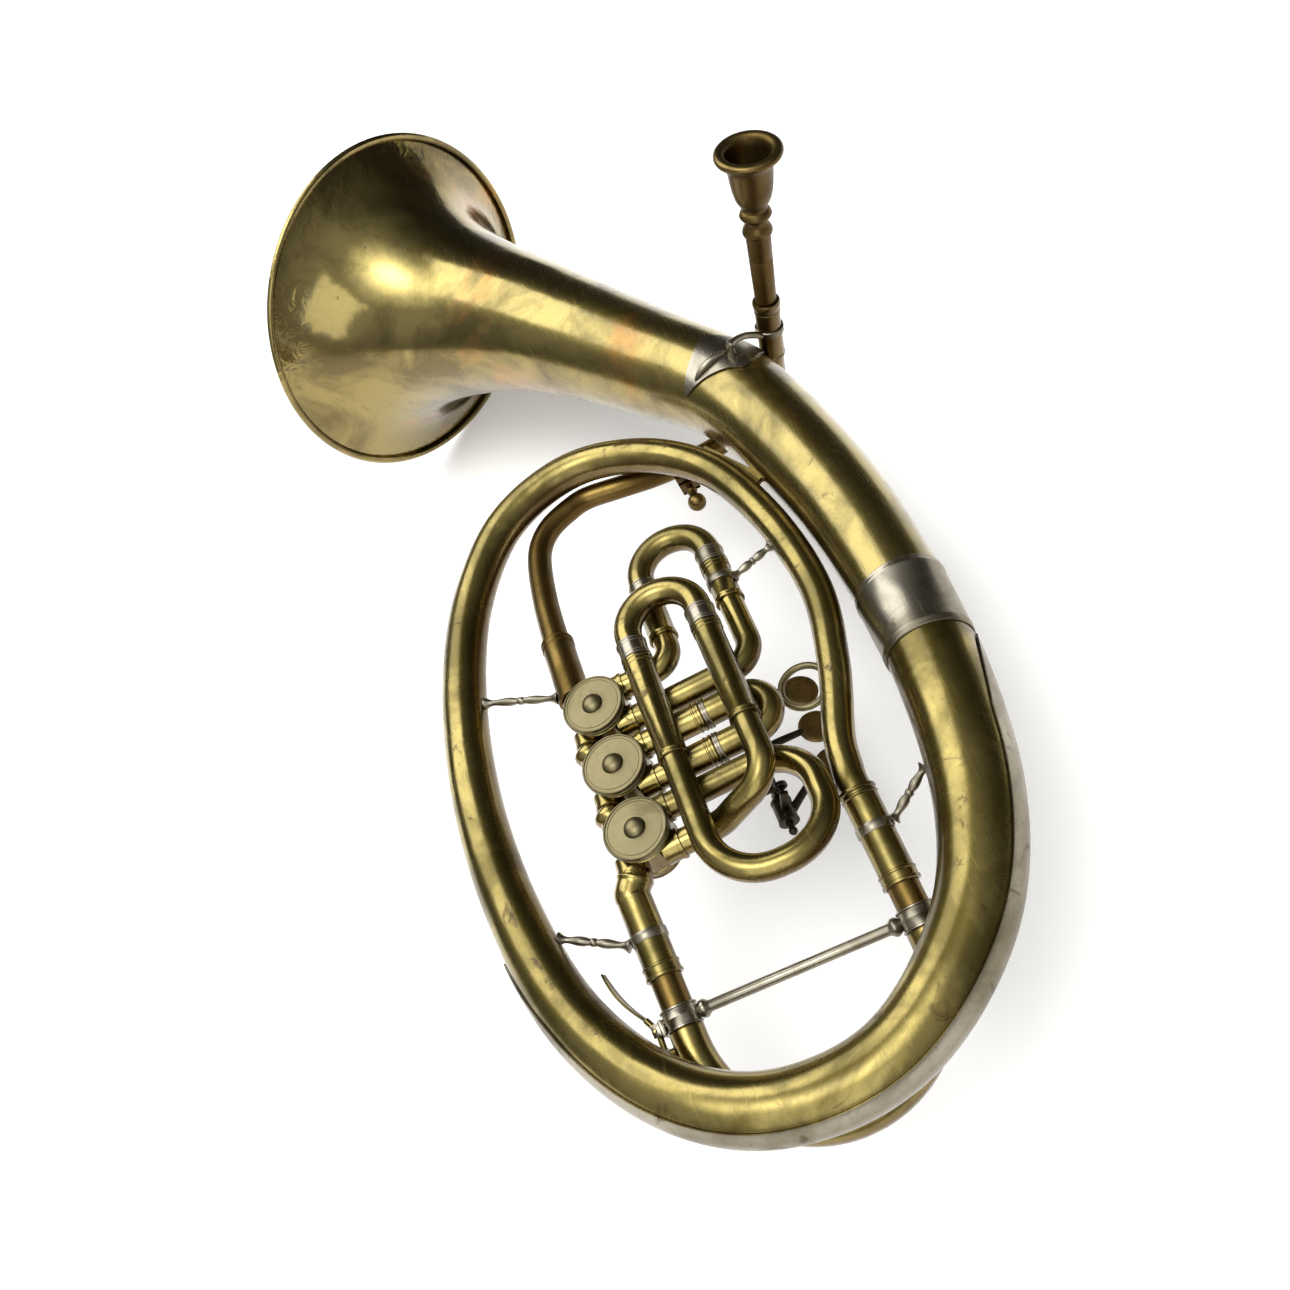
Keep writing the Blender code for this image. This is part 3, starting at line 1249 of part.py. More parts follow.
def mouthpiece():
    """A turned mouthpiece: a round rim, a cup, two beads and a long tapered shank."""
    seat = RECEIVER_HIGH - SHANK_INSERTED
    rim = RECEIVER_HIGH + MOUTHPIECE_VISIBLE
    throat = 0.0022
    profile = [
        (seat, SHANK_RADIUS - 0.0003), (RECEIVER_HIGH, SHANK_RADIUS),
        (RECEIVER_HIGH + 0.001, SHANK_RADIUS + 0.0006), (rim - 0.0430, SHANK_RADIUS + 0.0014),
        (rim - 0.0415, SHANK_RADIUS + 0.0026), (rim - 0.0395, SHANK_RADIUS + 0.0026),
        (rim - 0.0380, SHANK_RADIUS + 0.0008), (rim - 0.0345, SHANK_RADIUS + 0.0008),
        (rim - 0.0325, SHANK_RADIUS + 0.0040), (rim - 0.0300, SHANK_RADIUS + 0.0040),
        (rim - 0.0275, SHANK_RADIUS + 0.0018), (rim - 0.0240, SHANK_RADIUS + 0.0050),
        (rim - 0.0140, CUP_RADIUS + 0.0012), (rim - 0.0050, CUP_RADIUS + 0.0018),
        (rim - 0.0035, RIM_RADIUS - 0.0006), (rim - 0.0015, RIM_RADIUS),
        (rim, RIM_RADIUS - 0.0022), (rim - 0.0006, CUP_RADIUS + 0.0012),
        (rim - 0.0030, CUP_RADIUS), (rim - CUP_DEPTH * 0.62, CUP_RADIUS * 0.72),
        (rim - CUP_DEPTH, throat), (rim - CUP_DEPTH - 0.006, throat),
        (seat, SHANK_RADIUS - 0.0011),
    ]
    return turned(profile, on_mouth_axis(0), MOUTH_AXIS, DRUM_SIDES, looped=True)


def flange():
    """The diamond plate on the bell, with the arm that holds the receiver."""
    middle = from_rim(FLANGE_AT)
    count = 7
    marks = [middle + FLANGE_REACH * (2 * k / (count - 1) - 1) for k in range(count)]

    def spread(mark):
        share = abs(mark - middle) / FLANGE_REACH
        return FLANGE_SPREAD * max(0.04, (1 - share) ** 0.8)

    plate = surface_plate(marks, spread, FLANGE_LIFT, FLANGE_SHEET, 5, FLANGE_ANGLE)
    root = oval_surface(middle, FLANGE_ANGLE, FLANGE_LIFT + FLANGE_SHEET)
    hold = on_mouth_axis(CLASP_HEIGHT)
    reach = clear_of(RECEIVER_RADIUS, TUBE_SIDES)
    toward = root - hold
    toward = (toward - MOUTH_AXIS * toward.dot(MOUTH_AXIS)).normalized()
    half = CLASP_HALF / 2
    clasp = [(-half, reach), (-half, reach + CLASP_WALL), (half, reach + CLASP_WALL),
             (half, reach)]
    collar = turned(clasp, hold, MOUTH_AXIS, TUBE_SIDES, looped=True)
    arm_start = hold + toward * (reach + CLASP_WALL / 2)
    elbow = oval_surface(middle, FLANGE_ANGLE, FLANGE_RISE)
    rise = rod(root, elbow, FLANGE_ARM_RADIUS + SHEET)
    ball = turned([(-0.0020, 0.0012), (-0.0010, 0.0022), (0.0010, 0.0022), (0.0020, 0.0012)],
                  elbow, UP, SMALL_SIDES)
    arm = rod(elbow, arm_start, FLANGE_ARM_RADIUS)
    return combined(plate, joined=[rise, ball, arm, collar],
                    cut=[branch_space("bell", BELL_SIDES)])


def build_leadpipe(horn, brass, nickel):
    horn.add("leadpipe", leadpipe(), brass)
    horn.add("leadpipe_ferrule", leadpipe_ferrule(), brass)
    horn.add("receiver", receiver(), brass, on_mouth_axis(0))
    horn.add("mouthpiece", mouthpiece(), brass, on_mouth_axis(RECEIVER_HIGH))
    horn.add("bell_flange", flange(), nickel)


# Braces and small fittings

def brace(start, end, spaces):
    """A baluster between two tubes, its spread feet cut to the tubes that they stand on."""
    length = (end - start).length
    half = [(-BRACE_FLARE, BRACE_FOOT), (SHOULDER, BRACE_FOOT), (BRACE_FLARE, BRACE_WAIST)]
    belly = [(length * 0.30, BRACE_BELLY), (length * 0.42, BRACE_WAIST)]
    ring = [(length * 0.46, BRACE_BELLY), (length * 0.54, BRACE_BELLY)]
    mirrored = [(length - d, r) for d, r in (half + belly)[::-1]]
    baluster = turned(half + belly + ring + mirrored, start, end - start, SMALL_SIDES)
    return combined(baluster, cut=spaces)


def inner_side(distance, z=0.0):
    """A point just inside the oval, on the inner side of its tube."""
    inward = UP.cross(OVAL.direction(distance))
    reach = math.sqrt(oval_radius(distance) ** 2 - z ** 2) + SEAM
    return OVAL.at(distance) + inward * reach + UP * z


def nearest_mark(place):
    """The distance along the oval's line of the spot nearest to a place."""
    best = min(range(len(OVAL.points)), key=lambda i: (OVAL.points[i] - place).length)
    return OVAL.marks[best]


def sleeve_space(start, end, radius, sides):
    return rod(start, end, radius + SEAM, sides)


def build_braces(horn, nickel):
    inlet = valve_centre(0) + Vector((-PORT, STUB_REACH + SEAM, 0))
    ferrule = sleeve_space(inlet, inlet + LEADPIPE_LEAN, FERRULE_RADIUS, TUBE_SIDES)
    valve_end = inlet + Vector((-FERRULE_RADIUS, VALVE_BRACE_RISE, 0))
    oval_end = inner_side(nearest_mark(VALVE_BRACE_AT))
    horn.add("brace_valve", brace(oval_end, valve_end,
                                  [ferrule, branch_space("left_branch")]), nickel)

    legs = []
    for x, length in ((SLIDE_LEFT_X, LEFT_SLEEVE_LENGTH), (SLIDE_RIGHT_X, RIGHT_SLEEVE_LENGTH)):
        legs.append(sleeve_space(on_leg(x, 0), on_leg(x, length), TUNING_SLEEVE_RADIUS,
                                 SLIDE_SIDES))
    left_end = on_leg(SLIDE_LEFT_X - TUNING_SLEEVE_RADIUS, BRACE_DROP)
    left_oval = inner_side(nearest_mark(LEFT_BRACE_AT))
    horn.add("brace_left", brace(left_oval, left_end,
                                 [legs[0], branch_space("left_branch")]), nickel)
    right_end = on_leg(SLIDE_RIGHT_X + TUNING_SLEEVE_RADIUS, BRACE_DROP)
    right_oval = inner_side(nearest_mark(RIGHT_BRACE_AT))
    horn.add("brace_right", brace(right_end, right_oval,
                                  [legs[1], branch_space("right_branch")]), nickel)

    sleeve_top = Vector((FIRST_SLIDE_RIGHT_X, FIRST_SLEEVE_TOP, 0))
    slide = sleeve_space(sleeve_top - Vector((0, FIRST_LEG, 0)), sleeve_top, SLEEVE_RADIUS,
                         TUBE_SIDES)
    slide_end = Vector((FIRST_SLIDE_RIGHT_X + SLEEVE_RADIUS, SLIDE_BRACE_Y, 0))
    slide_oval = inner_side(nearest_mark(SLIDE_BRACE_AT))
    horn.add("brace_slide", brace(slide_end, slide_oval, [slide, s_tube_space()]), nickel)


def thumb_ring():
    """A wire ring for the thumb, on a short stem that meets the S tube."""
    rings = []
    steps = 14
    for k in range(steps):
        turn = 2 * math.pi * k / steps
        spoke = Vector((math.cos(turn), math.sin(turn), 0))
        rings.append((RING_CENTRE + spoke * RING_RADIUS, spoke, UP, RING_WIRE))
    hoop = ring_chain(rings, SMALL_SIDES, looped=True)
    spot = OVAL.at(nearest_mark(Vector((0.0700, RING_CENTRE.y, 0))))
    start = RING_CENTRE + Vector((RING_RADIUS, 0, 0))
    toward = (spot - start).normalized()
    reach = (spot - start).length - oval_radius(nearest_mark(spot))
    stem = turned([(0, 0.0013), (reach - 0.0012, 0.0013), (reach, 0.0026), (reach + 0.003,
                  0.0026)], start, toward, SMALL_SIDES)
    return combined(hoop, joined=[stem], cut=[s_tube_space()])


def lyre_holder():
    """The block under the upper bow with a square socket for the lyre and a threaded hole."""
    body = block(LYRE_CENTRE + UP * LYRE_RISE, LYRE_BLOCK)
    socket = block(LYRE_CENTRE, Vector((LYRE_BLOCK.x * 2, LYRE_SOCKET, LYRE_SOCKET)))
    front = LYRE_CENTRE - Vector((0, LYRE_BLOCK.y, 0))
    hole = rod(front, LYRE_CENTRE, LYRE_SCREW_RADIUS + RUNNING)
    return combined(body, cut=[socket, hole, branch_space("upper_bow")])


def lyre_screw():
    """A screw with a ball head, turned in from the player's left."""
    tip = LYRE_CENTRE - Vector((0, LYRE_SOCKET / 2 + 0.0002, 0))
    neck = LYRE_SCREW_LENGTH
    profile = [(0, LYRE_SCREW_RADIUS - 0.0003), (0.0004, LYRE_SCREW_RADIUS),
               (neck - 0.001, LYRE_SCREW_RADIUS), (neck, 0.0026), (neck + 0.001, 0.0026)]
    for k in range(6):
        turn = math.radians(-54 + 27 * k)
        profile.append((neck + 0.001 + LYRE_KNOB_RADIUS * (math.sin(turn) + 0.84),
                        LYRE_KNOB_RADIUS * math.cos(turn)))
    return turned(profile, tip, Vector((0, -1, 0)), TUBE_SIDES)


def loop_saddle():
    """The rib soldered between the end of the loop and the bell where they pass."""
    turn = Matrix.Rotation(math.atan2(SADDLE_RUN.y, SADDLE_RUN.x), 3, "Z")
    rib = block(SADDLE_CENTRE, Vector((SADDLE_RUN.length, SADDLE_WIDTH, SADDLE_HEIGHT)), turn)
    return combined(rib, cut=[s_tube_space(), branch_space("upper_bow"),
                              branch_space("bell", BELL_SIDES)])


def build_fittings(horn, brass, nickel):
    horn.add("thumb_ring", thumb_ring(), nickel, RING_CENTRE)
    horn.add("lyre_holder", lyre_holder(), brass, LYRE_CENTRE)
    horn.add("lyre_screw", lyre_screw(), brass, LYRE_CENTRE)
    horn.add("loop_saddle", loop_saddle(), brass)


def main():
    clear_scene()
    brass = metal("aged_brass", (0.55, 0.42, 0.16), 0.32)
    nickel = metal("nickel_silver", (0.62, 0.60, 0.54), 0.30)
    cap_metal = metal("pale_brass", (0.60, 0.54, 0.36), 0.40)
    steel = metal("dark_steel", (0.30, 0.28, 0.24), 0.45)
    horn = Horn()
    build_oval(horn, brass, nickel)
    build_tuning_slide(horn, brass, nickel)
    build_valves(horn, brass, cap_metal, steel)
    build_slides(horn, brass)
    build_levers(horn, brass, steel, nickel)
    build_leadpipe(horn, brass, nickel)
    build_braces(horn, nickel)
    build_fittings(horn, brass, nickel)
    horn.set_down()


main()
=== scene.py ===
"""An alto horn in oval form, dressed for rendering: smooth tubes, ferrules, valves and levers.

The horn lies over a pale floor on the rim of its bell, with its levers below. Its pieces are
laid out in the horn's own frame, X across the oval, Y towards the bell and Z up through the
valve caps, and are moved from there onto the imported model.
"""
import math

import bmesh
import bpy
from mathutils import Matrix, Vector


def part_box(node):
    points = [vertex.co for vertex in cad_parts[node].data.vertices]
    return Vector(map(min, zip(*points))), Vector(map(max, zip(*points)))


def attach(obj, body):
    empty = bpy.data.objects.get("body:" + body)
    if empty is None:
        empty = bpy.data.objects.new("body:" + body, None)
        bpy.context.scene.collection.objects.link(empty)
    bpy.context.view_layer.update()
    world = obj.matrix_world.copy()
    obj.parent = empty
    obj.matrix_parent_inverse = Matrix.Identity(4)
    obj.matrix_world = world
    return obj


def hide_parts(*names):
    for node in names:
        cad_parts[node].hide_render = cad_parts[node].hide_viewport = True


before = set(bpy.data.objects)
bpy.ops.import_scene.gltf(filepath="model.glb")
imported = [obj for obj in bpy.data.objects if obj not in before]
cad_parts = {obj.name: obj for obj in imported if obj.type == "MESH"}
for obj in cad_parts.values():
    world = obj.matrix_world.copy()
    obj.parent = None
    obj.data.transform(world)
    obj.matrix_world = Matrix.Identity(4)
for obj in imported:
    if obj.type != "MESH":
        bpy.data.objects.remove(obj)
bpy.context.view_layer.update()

bl_info = {
    "name": "Alto Horn",
    "version": (1, 0, 0),
    "blender": (4, 5, 0),
    "location": "View3D > Sidebar > Horn",
    "description": "Builds an oval alto horn with rotary valves over its packed model",
    "category": "Object",
}

UP = Vector((0, 0, 1))
MM = 0.001

# The first valve's place in the horn's own frame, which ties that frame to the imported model
VALVE_X = -28.1 * MM
FIRST_VALVE_Y = -23.9 * MM
VALVE_PITCH = 31.9 * MM
CAP_FOOT = 7.8 * MM
CAP_LOW, CAP_HIGH = (Vector(corner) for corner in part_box("valve_cap_1"))
SHIFT = Vector(((CAP_LOW.x + CAP_HIGH.x) / 2 - VALVE_X,
                (CAP_LOW.y + CAP_HIGH.y) / 2 - FIRST_VALVE_Y, CAP_LOW.z - CAP_FOOT))

# Middle line of the oval's tube, from the tuning slide round to the bell's rim
OVAL_LINE = (
    (0.0560, -0.0980), (0.0585, -0.0840), (0.0692, -0.0520), (0.0764, -0.0140),
    (0.0718, 0.0330), (0.0575, 0.0760), (0.0310, 0.1052), (-0.0040, 0.1185),
    (-0.0414, 0.1070), (-0.0680, 0.0730), (-0.0840, 0.0270), (-0.0916, -0.0300),
    (-0.0890, -0.0880), (-0.0760, -0.1435), (-0.0500, -0.1845), (-0.0140, -0.2060),
    (0.0300, -0.2050), (0.0700, -0.1770), (0.0930, -0.1360), (0.1040, -0.0800),
    (0.1061, -0.0200), (0.1009, 0.0410), (0.0840, 0.1110), (0.0550, 0.1600),
    (0.0225, 0.2100), (-0.0050, 0.2470), (-0.0608, 0.3097),
)

# Steps of the smooth curve from point to point, and the points where a branch ends
OVAL_STEPS = 16
S_TUBE_END = 5
UPPER_BOW_END = 9
LEFT_BRANCH_END = 13
BOTTOM_BOW_END = 17

# Outer radius of the oval's tube: a cone until CONE_BACK before the rim, a blend, and then
# from FLARE_BACK before the rim the flare of the bell
CONE_FOOT = 6.2 * MM
CONE_RISE = 0.0098
CONE_BACK = 0.600
FLARE_BACK = 0.480
FLARE_REACH = 20 * MM
FLARE_POWER = 0.534

# Middle line of the leadpipe, from the receiver's foot to the first valve
LEADPIPE_LINE = (
    (0.1035, 0.1280, -0.0225), (0.0980, 0.1270, -0.0305), (0.0840, 0.1220, -0.0320),
    (0.0600, 0.1130, -0.0270), (0.0350, 0.1070, -0.0190), (0.0154, 0.1065, -0.0140),
    (-0.0028, 0.1097, -0.0130), (-0.0139, 0.1060, -0.0112), (-0.0246, 0.1000, -0.0100),
    (-0.0318, 0.0902, -0.0090), (-0.0353, 0.0763, -0.0078), (-0.0373, 0.0514, -0.0050),
)

# Bell: its axis, and the nickel band that joins it, by its distance from the rim
BELL_AXIS = Vector((-0.606, 0.795, 0)).normalized()
BAND_TOP = 394 * MM
BAND_LENGTH = 34 * MM

# Tuning slide: its legs run down the horn and fall away from the plane of the oval. The lower
# braces meet them BRACE_DOWN below the top.
SLIDE_FALL = math.radians(15)
SLIDE_DOWN = Vector((0, -math.cos(SLIDE_FALL), -math.sin(SLIDE_FALL)))
SLIDE_FACE = Vector((0, -math.sin(SLIDE_FALL), math.cos(SLIDE_FALL)))
SLIDE_LEFT_X = -40.2 * MM
SLIDE_RIGHT_X = 55.2 * MM
LEG_TOP_Y = -108.5 * MM
LEG_TOP_Z = -1.0 * MM
LEG_RADIUS = 6.2 * MM
CROOK_RADIUS = 7.0 * MM
BRACE_DOWN = 16.5 * MM

# Mouthpiece and receiver: where their axis starts, and which way it leans
MOUTH_FOOT = Vector((0.1096, 0.1280, -0.0020))
MOUTH_AXIS = Vector((math.sin(math.radians(13)), 0, math.cos(math.radians(13))))

# Valves: the ports' place beside the axis, the reach of the stubs, and the crank with its link
PORT = 12.5 * MM * math.sin(math.radians(45))
STUB_REACH = 12.75 * MM
TUBE_BORE = 4.8 * MM
CRANK_TURN = math.radians(45)
CRANK_REACH = 5.5 * MM
LINK_LEVEL = -16.4 * MM
LEVER_REACH = 15 * MM

# Edges with a greater angle than this are shaded as sharp
SHARP_EDGE = math.radians(35)

# Camera of the photograph: its axes and its place in the horn's frame
CAMERA_RIGHT = Vector((0.88287, -0.28268, -0.37501))
CAMERA_UP = Vector((0.45180, 0.72913, 0.51405))
CAMERA_BACK = Vector((0.12812, -0.62327, 0.77144))
CAMERA_PLACE = Vector((0.07485, -0.36414, 0.45072))
CAMERA_LENS = 37.67


# Settings that a user may change

class HornSizes(bpy.types.PropertyGroup):
    """Sizes of the horn's tubes, in metres."""

    bell_radius: bpy.props.FloatProperty(
        name="Bell radius", description="Radius of the bell at its rolled rim",
        default=93.8 * MM, unit="LENGTH")
    bead_radius: bpy.props.FloatProperty(
        name="Rim bead", description="Radius of the wire rolled into the rim",
        default=1.9 * MM, unit="LENGTH")
    sheet: bpy.props.FloatProperty(
        name="Sheet", description="Wall of the bell and of the tubes", default=0.6 * MM,
        unit="LENGTH")
    tube_radius: bpy.props.FloatProperty(
        name="Valve tube radius", description="Outer radius of the tubes of the valve slides",
        default=5.5 * MM, unit="LENGTH")
    cap_radius: bpy.props.FloatProperty(
        name="Cap radius", description="Radius of the valve caps", default=13.6 * MM,
        unit="LENGTH")
    tube_sides: bpy.props.IntProperty(
        name="Tube sides", description="Facets round a narrow tube", default=40, min=12)
    bell_sides: bpy.props.IntProperty(
        name="Bell sides", description="Facets round the bell", default=128, min=24)


class HornColours(bpy.types.PropertyGroup):
    """Colours of the horn's metals, as sRGB hex values."""

    brass: bpy.props.StringProperty(
        name="Brass", description="Brass where the lacquer is still bright", default="#A99856")
    tarnish: bpy.props.StringProperty(
        name="Tarnish", description="Olive film over old brass", default="#70632C")
    stain: bpy.props.StringProperty(
        name="Stain", description="Brown stains where lacquer has gone", default="#54391C")
    nickel: bpy.props.StringProperty(
        name="Nickel silver", description="Bands, braces and guard", default="#AEA797")
    cap: bpy.props.StringProperty(
        name="Valve caps", description="Pale worn plate on the caps", default="#8A8160")
    steel: bpy.props.StringProperty(
        name="Action steel", description="Levers' rods and stop arms", default="#4C453A")


def sizes():
    return bpy.context.scene.horn_sizes


def colours():
    return bpy.context.scene.horn_colours


# Paths

def smooth(points, steps=12):
    """A smooth curve through the points, as a list of close points."""
    points = [Vector(p).to_3d() if len(p) == 2 else Vector(p) for p in points]
    curve = []
    for i in range(len(points) - 1):
        before = points[max(i - 1, 0)]
        here, there = points[i], points[i + 1]
        after = points[min(i + 2, len(points) - 1)]
        for k in range(steps):
            t = k / steps
            curve.append(0.5 * (2 * here + (there - before) * t
                                + (2 * before - 5 * here + 4 * there - after) * t ** 2
                                + (3 * here - before - 3 * there + after) * t ** 3))
    return curve + [points[-1]]


def bent(corners, radii, steps=12):
    """A route of straight runs whose corners are rounded to the given radii."""
    corners = [Vector(c) for c in corners]
    route = [corners[0]]
    for before, corner, after, radius in zip(corners, corners[1:], corners[2:], radii):
        back = (before - corner).normalized()
        ahead = (after - corner).normalized()
        half = back.angle(ahead) / 2
        centre = corner + (back + ahead).normalized() * radius / math.sin(half)
        start = corner + back * radius / math.tan(half) - centre
        end = corner + ahead * radius / math.tan(half) - centre
        sweep = start.angle(end)
        axis = start.cross(end).normalized()
        for k in range(steps + 1):
            route.append(centre + Matrix.Rotation(sweep * k / steps, 3, axis) @ start)
    return route + [corners[-1]]


class Line:
    """A path measured by its length."""

    def __init__(self, points):
        self.points = points
        self.marks = [0.0]
        for a, b in zip(points, points[1:]):
            self.marks.append(self.marks[-1] + (b - a).length)
        self.length = self.marks[-1]

    def at(self, distance):
        distance = min(max(distance, 0.0), self.length)
        for i in range(len(self.points) - 1):
            if distance <= self.marks[i + 1]:
                share = (distance - self.marks[i]) / (self.marks[i + 1] - self.marks[i])
                return self.points[i].lerp(self.points[i + 1], share)
        return self.points[-1]

    def direction(self, distance, reach=0.002):
        return (self.at(distance + reach) - self.at(distance - reach)).normalized()


OVAL = Line(smooth(OVAL_LINE, OVAL_STEPS))


def spaced(start, end, step):
    """Evenly spaced numbers from start to end, at most a step apart."""
    count = max(2, int(abs(end - start) / step) + 1)
    return [start + (end - start) * k / (count - 1) for k in range(count)]


def from_rim(back):
    return OVAL.length - back


def point_mark(index):
    return OVAL.marks[index * OVAL_STEPS]


def cone_radius(mark):
    return CONE_FOOT + CONE_RISE * mark


def flare_radius(back):
    return sizes().bell_radius * (FLARE_REACH / (back + FLARE_REACH)) ** FLARE_POWER


def oval_radius(mark):
    """Outer radius of the oval's tube: a slow cone, then the bell's flare."""
    back = OVAL.length - mark
    if back > CONE_BACK:
        return cone_radius(mark)
    if back < FLARE_BACK:
        return flare_radius(max(back, 0))
    share = (CONE_BACK - back) / (CONE_BACK - FLARE_BACK)
    cone_edge = cone_radius(from_rim(CONE_BACK))
    return cone_edge + (flare_radius(FLARE_BACK) - cone_edge) * share


def oval_surface(mark, angle, lift=0.0):
    """A point on the oval's tube: the angle runs from the top to the outer side."""
    outward = OVAL.direction(mark).cross(UP)
    reach = oval_radius(mark) + lift
    return OVAL.at(mark) + UP * reach * math.cos(angle) + outward * reach * math.sin(angle)


def nearest_mark(place):
    best = min(range(len(OVAL.points)), key=lambda i: (OVAL.points[i] - place).length)
    return OVAL.marks[best]


def on_leg(x, down):
    """A point on a leg of the tuning slide, this far down from the leg's top."""
    return Vector((x, LEG_TOP_Y, LEG_TOP_Z)) + SLIDE_DOWN * down


def valve_centre(number):
    return Vector((VALVE_X, FIRST_VALVE_Y - VALVE_PITCH * number, 0))


def on_mouth_axis(height):
    return MOUTH_FOOT + MOUTH_AXIS * height


# Shapes

def placements(stations, side=None):
    """A matrix for each (place, direction, radius): it sets a unit ring there, untwisted."""
    result = []
    before = None
    for place, along, radius in stations:
        along = along.normalized()
        if before is None:
            side = side or (UP if abs(along.z) < 0.9 else Vector((0, 1, 0)))
        else:
            side = before.rotation_difference(along) @ side
        side = (side - along * side.dot(along)).normalized()
        other = along.cross(side)
        turn = Matrix((side, other, along)).transposed().to_4x4()
        result.append(Matrix.Translation(place) @ turn @ Matrix.Diagonal((radius,) * 3 + (1,)))
        before = along
    return result


def ring_edges(verts):
    """The edges of a new ring, each once and in the same order each run."""
    return list(dict.fromkeys(edge for vert in verts for edge in vert.link_edges))


def swept(stations, sides=None, looped=False, side=None):
    """A ring extruded from station to station: a loop of walls, or a solid with closed ends."""
    sides = sides or sizes().tube_sides
    bm = bmesh.new()
    placed = placements(stations, side)
    made = bmesh.ops.create_circle(bm, cap_ends=False, radius=1, segments=sides,
                                   matrix=placed[0])
    edges = ring_edges(made["verts"])
    first = edges
    for before, after in zip(placed, placed[1:]):
        grown = bmesh.ops.extrude_edge_only(bm, edges=edges)["geom"]
        verts = {item for item in grown if isinstance(item, bmesh.types.BMVert)}
        bmesh.ops.transform(bm, matrix=after @ before.inverted(), verts=list(verts))
        edges = [item for item in grown if isinstance(item, bmesh.types.BMEdge)
                 and item.verts[0] in verts and item.verts[1] in verts]
    if looped:
        bmesh.ops.bridge_loops(bm, edges=first + edges)
    else:
        for loop in (first, edges):
            bmesh.ops.contextual_create(bm, geom=loop)
    bmesh.ops.recalc_face_normals(bm, faces=bm.faces)
    return bm


def stations_along(points, radii):
    """Stations on a run of points, each facing along the run."""
    radii = radii if isinstance(radii, (list, tuple)) else [radii] * len(points)
    result = []
    for i, place in enumerate(points):
        a, b = points[max(i - 1, 0)], points[min(i + 1, len(points) - 1)]
        result.append((place, (b - a).normalized(), radii[i]))
    return result


def tube(stations, wall, **more):
    """A tube with an open bore: out along its skin and back along its inside."""
    inner = [(place, along, radius - wall) for place, along, radius in stations]
    return swept(list(stations) + inner[::-1], looped=True, **more)


def turned(profile, foot, along, sides=None, looped=False, bm=None):
    """A turned piece: the profile holds (distance from the foot, radius) pairs in millimetres."""
    along = along.normalized()
    stations = [(foot + along * (d * MM), along, max(r, 0.05) * MM) for d, r in profile]
    return joined(swept(stations, sides, looped), bm)


def mirrored(profile, length):
    """A profile followed by its mirror image, for a piece of this length with two like ends."""
    return profile + [(length - d, r) for d, r in profile[::-1]]


def rod(start, end, radius, sides=24, bm=None):
    """A round bar with softened ends."""
    along, length = (end - start).normalized(), (end - start).length
    soft = min(radius * 0.3, length * 0.2)
    profile = ((0, radius - soft), (soft, radius), (length - soft, radius),
               (length, radius - soft))
    return joined(swept([(start + along * d, along, r) for d, r in profile], sides), bm)


def block(centre, size, turn=None, soft=0.3 * MM, bm=None):
    """A box with softened edges."""
    part = bmesh.new()
    bmesh.ops.create_cube(part, size=1)
    bmesh.ops.scale(part, vec=size, verts=part.verts)
    bmesh.ops.bevel(part, geom=part.edges, offset=soft, affect="EDGES", segments=2,
                    profile=0.5, material=-1)
    if turn:
        bmesh.ops.rotate(part, matrix=turn, verts=part.verts)
    bmesh.ops.translate(part, vec=centre, verts=part.verts)
    return joined(part, bm)


def joined(part, bm):
    """Adds a part's mesh to another that is being built."""
    if bm is None:
        return part
    mesh = bpy.data.meshes.new("part")
    part.to_mesh(mesh)
    part.free()
    bm.from_mesh(mesh)
    bpy.data.meshes.remove(mesh)
    return bm


def ball(centre, radius, sides=24, bm=None):
    part = bmesh.new()
    bmesh.ops.create_uvsphere(part, u_segments=sides, v_segments=sides // 2, radius=radius)
    bmesh.ops.translate(part, vec=centre, verts=part.verts)
    return joined(part, bm)


def hoop(centre, ring_radius, wire):
    """A level ring of round wire."""
    side = Vector((1, 0, 0))
    part = bmesh.new()
    made = bmesh.ops.create_circle(part, cap_ends=False, radius=wire, segments=12, matrix=(
        Matrix.Translation(centre + side * ring_radius)
        @ Matrix((UP, side, UP.cross(side))).transposed().to_4x4()))
    edges = ring_edges(made["verts"])
    bmesh.ops.spin(part, geom=made["verts"] + edges, cent=centre, axis=UP,
                   angle=math.radians(360), steps=64, use_merge=True)
    bmesh.ops.recalc_face_normals(part, faces=part.faces)
    return part


def wrapped(marks, spread_at, lift, thickness, columns=24, middle=math.radians(90)):
    """A sheet that hugs the oval's tube, bent from a flat grid and given its thickness."""
    bm = bmesh.new()
    rows = len(marks) - 1
    bmesh.ops.create_grid(bm, x_segments=rows, y_segments=columns, size=0.5)
    for vert in bm.verts:
        mark = marks[round((vert.co.x + 0.5) * rows)]
        across = vert.co.y * 2
        vert.co = oval_surface(mark, middle + spread_at(mark, across) * across, lift)
    bmesh.ops.recalc_face_normals(bm, faces=bm.faces)
    face = bm.faces[:][len(bm.faces) // 2]
    centre = OVAL.at(nearest_mark(face.calc_center_median()))
    inward = face.normal.dot(face.calc_center_median() - centre) < 0
    if inward:
        bmesh.ops.reverse_faces(bm, faces=bm.faces)
    bmesh.ops.solidify(bm, geom=bm.faces, thickness=-thickness)
    bmesh.ops.recalc_face_normals(bm, faces=bm.faces)
    return bm


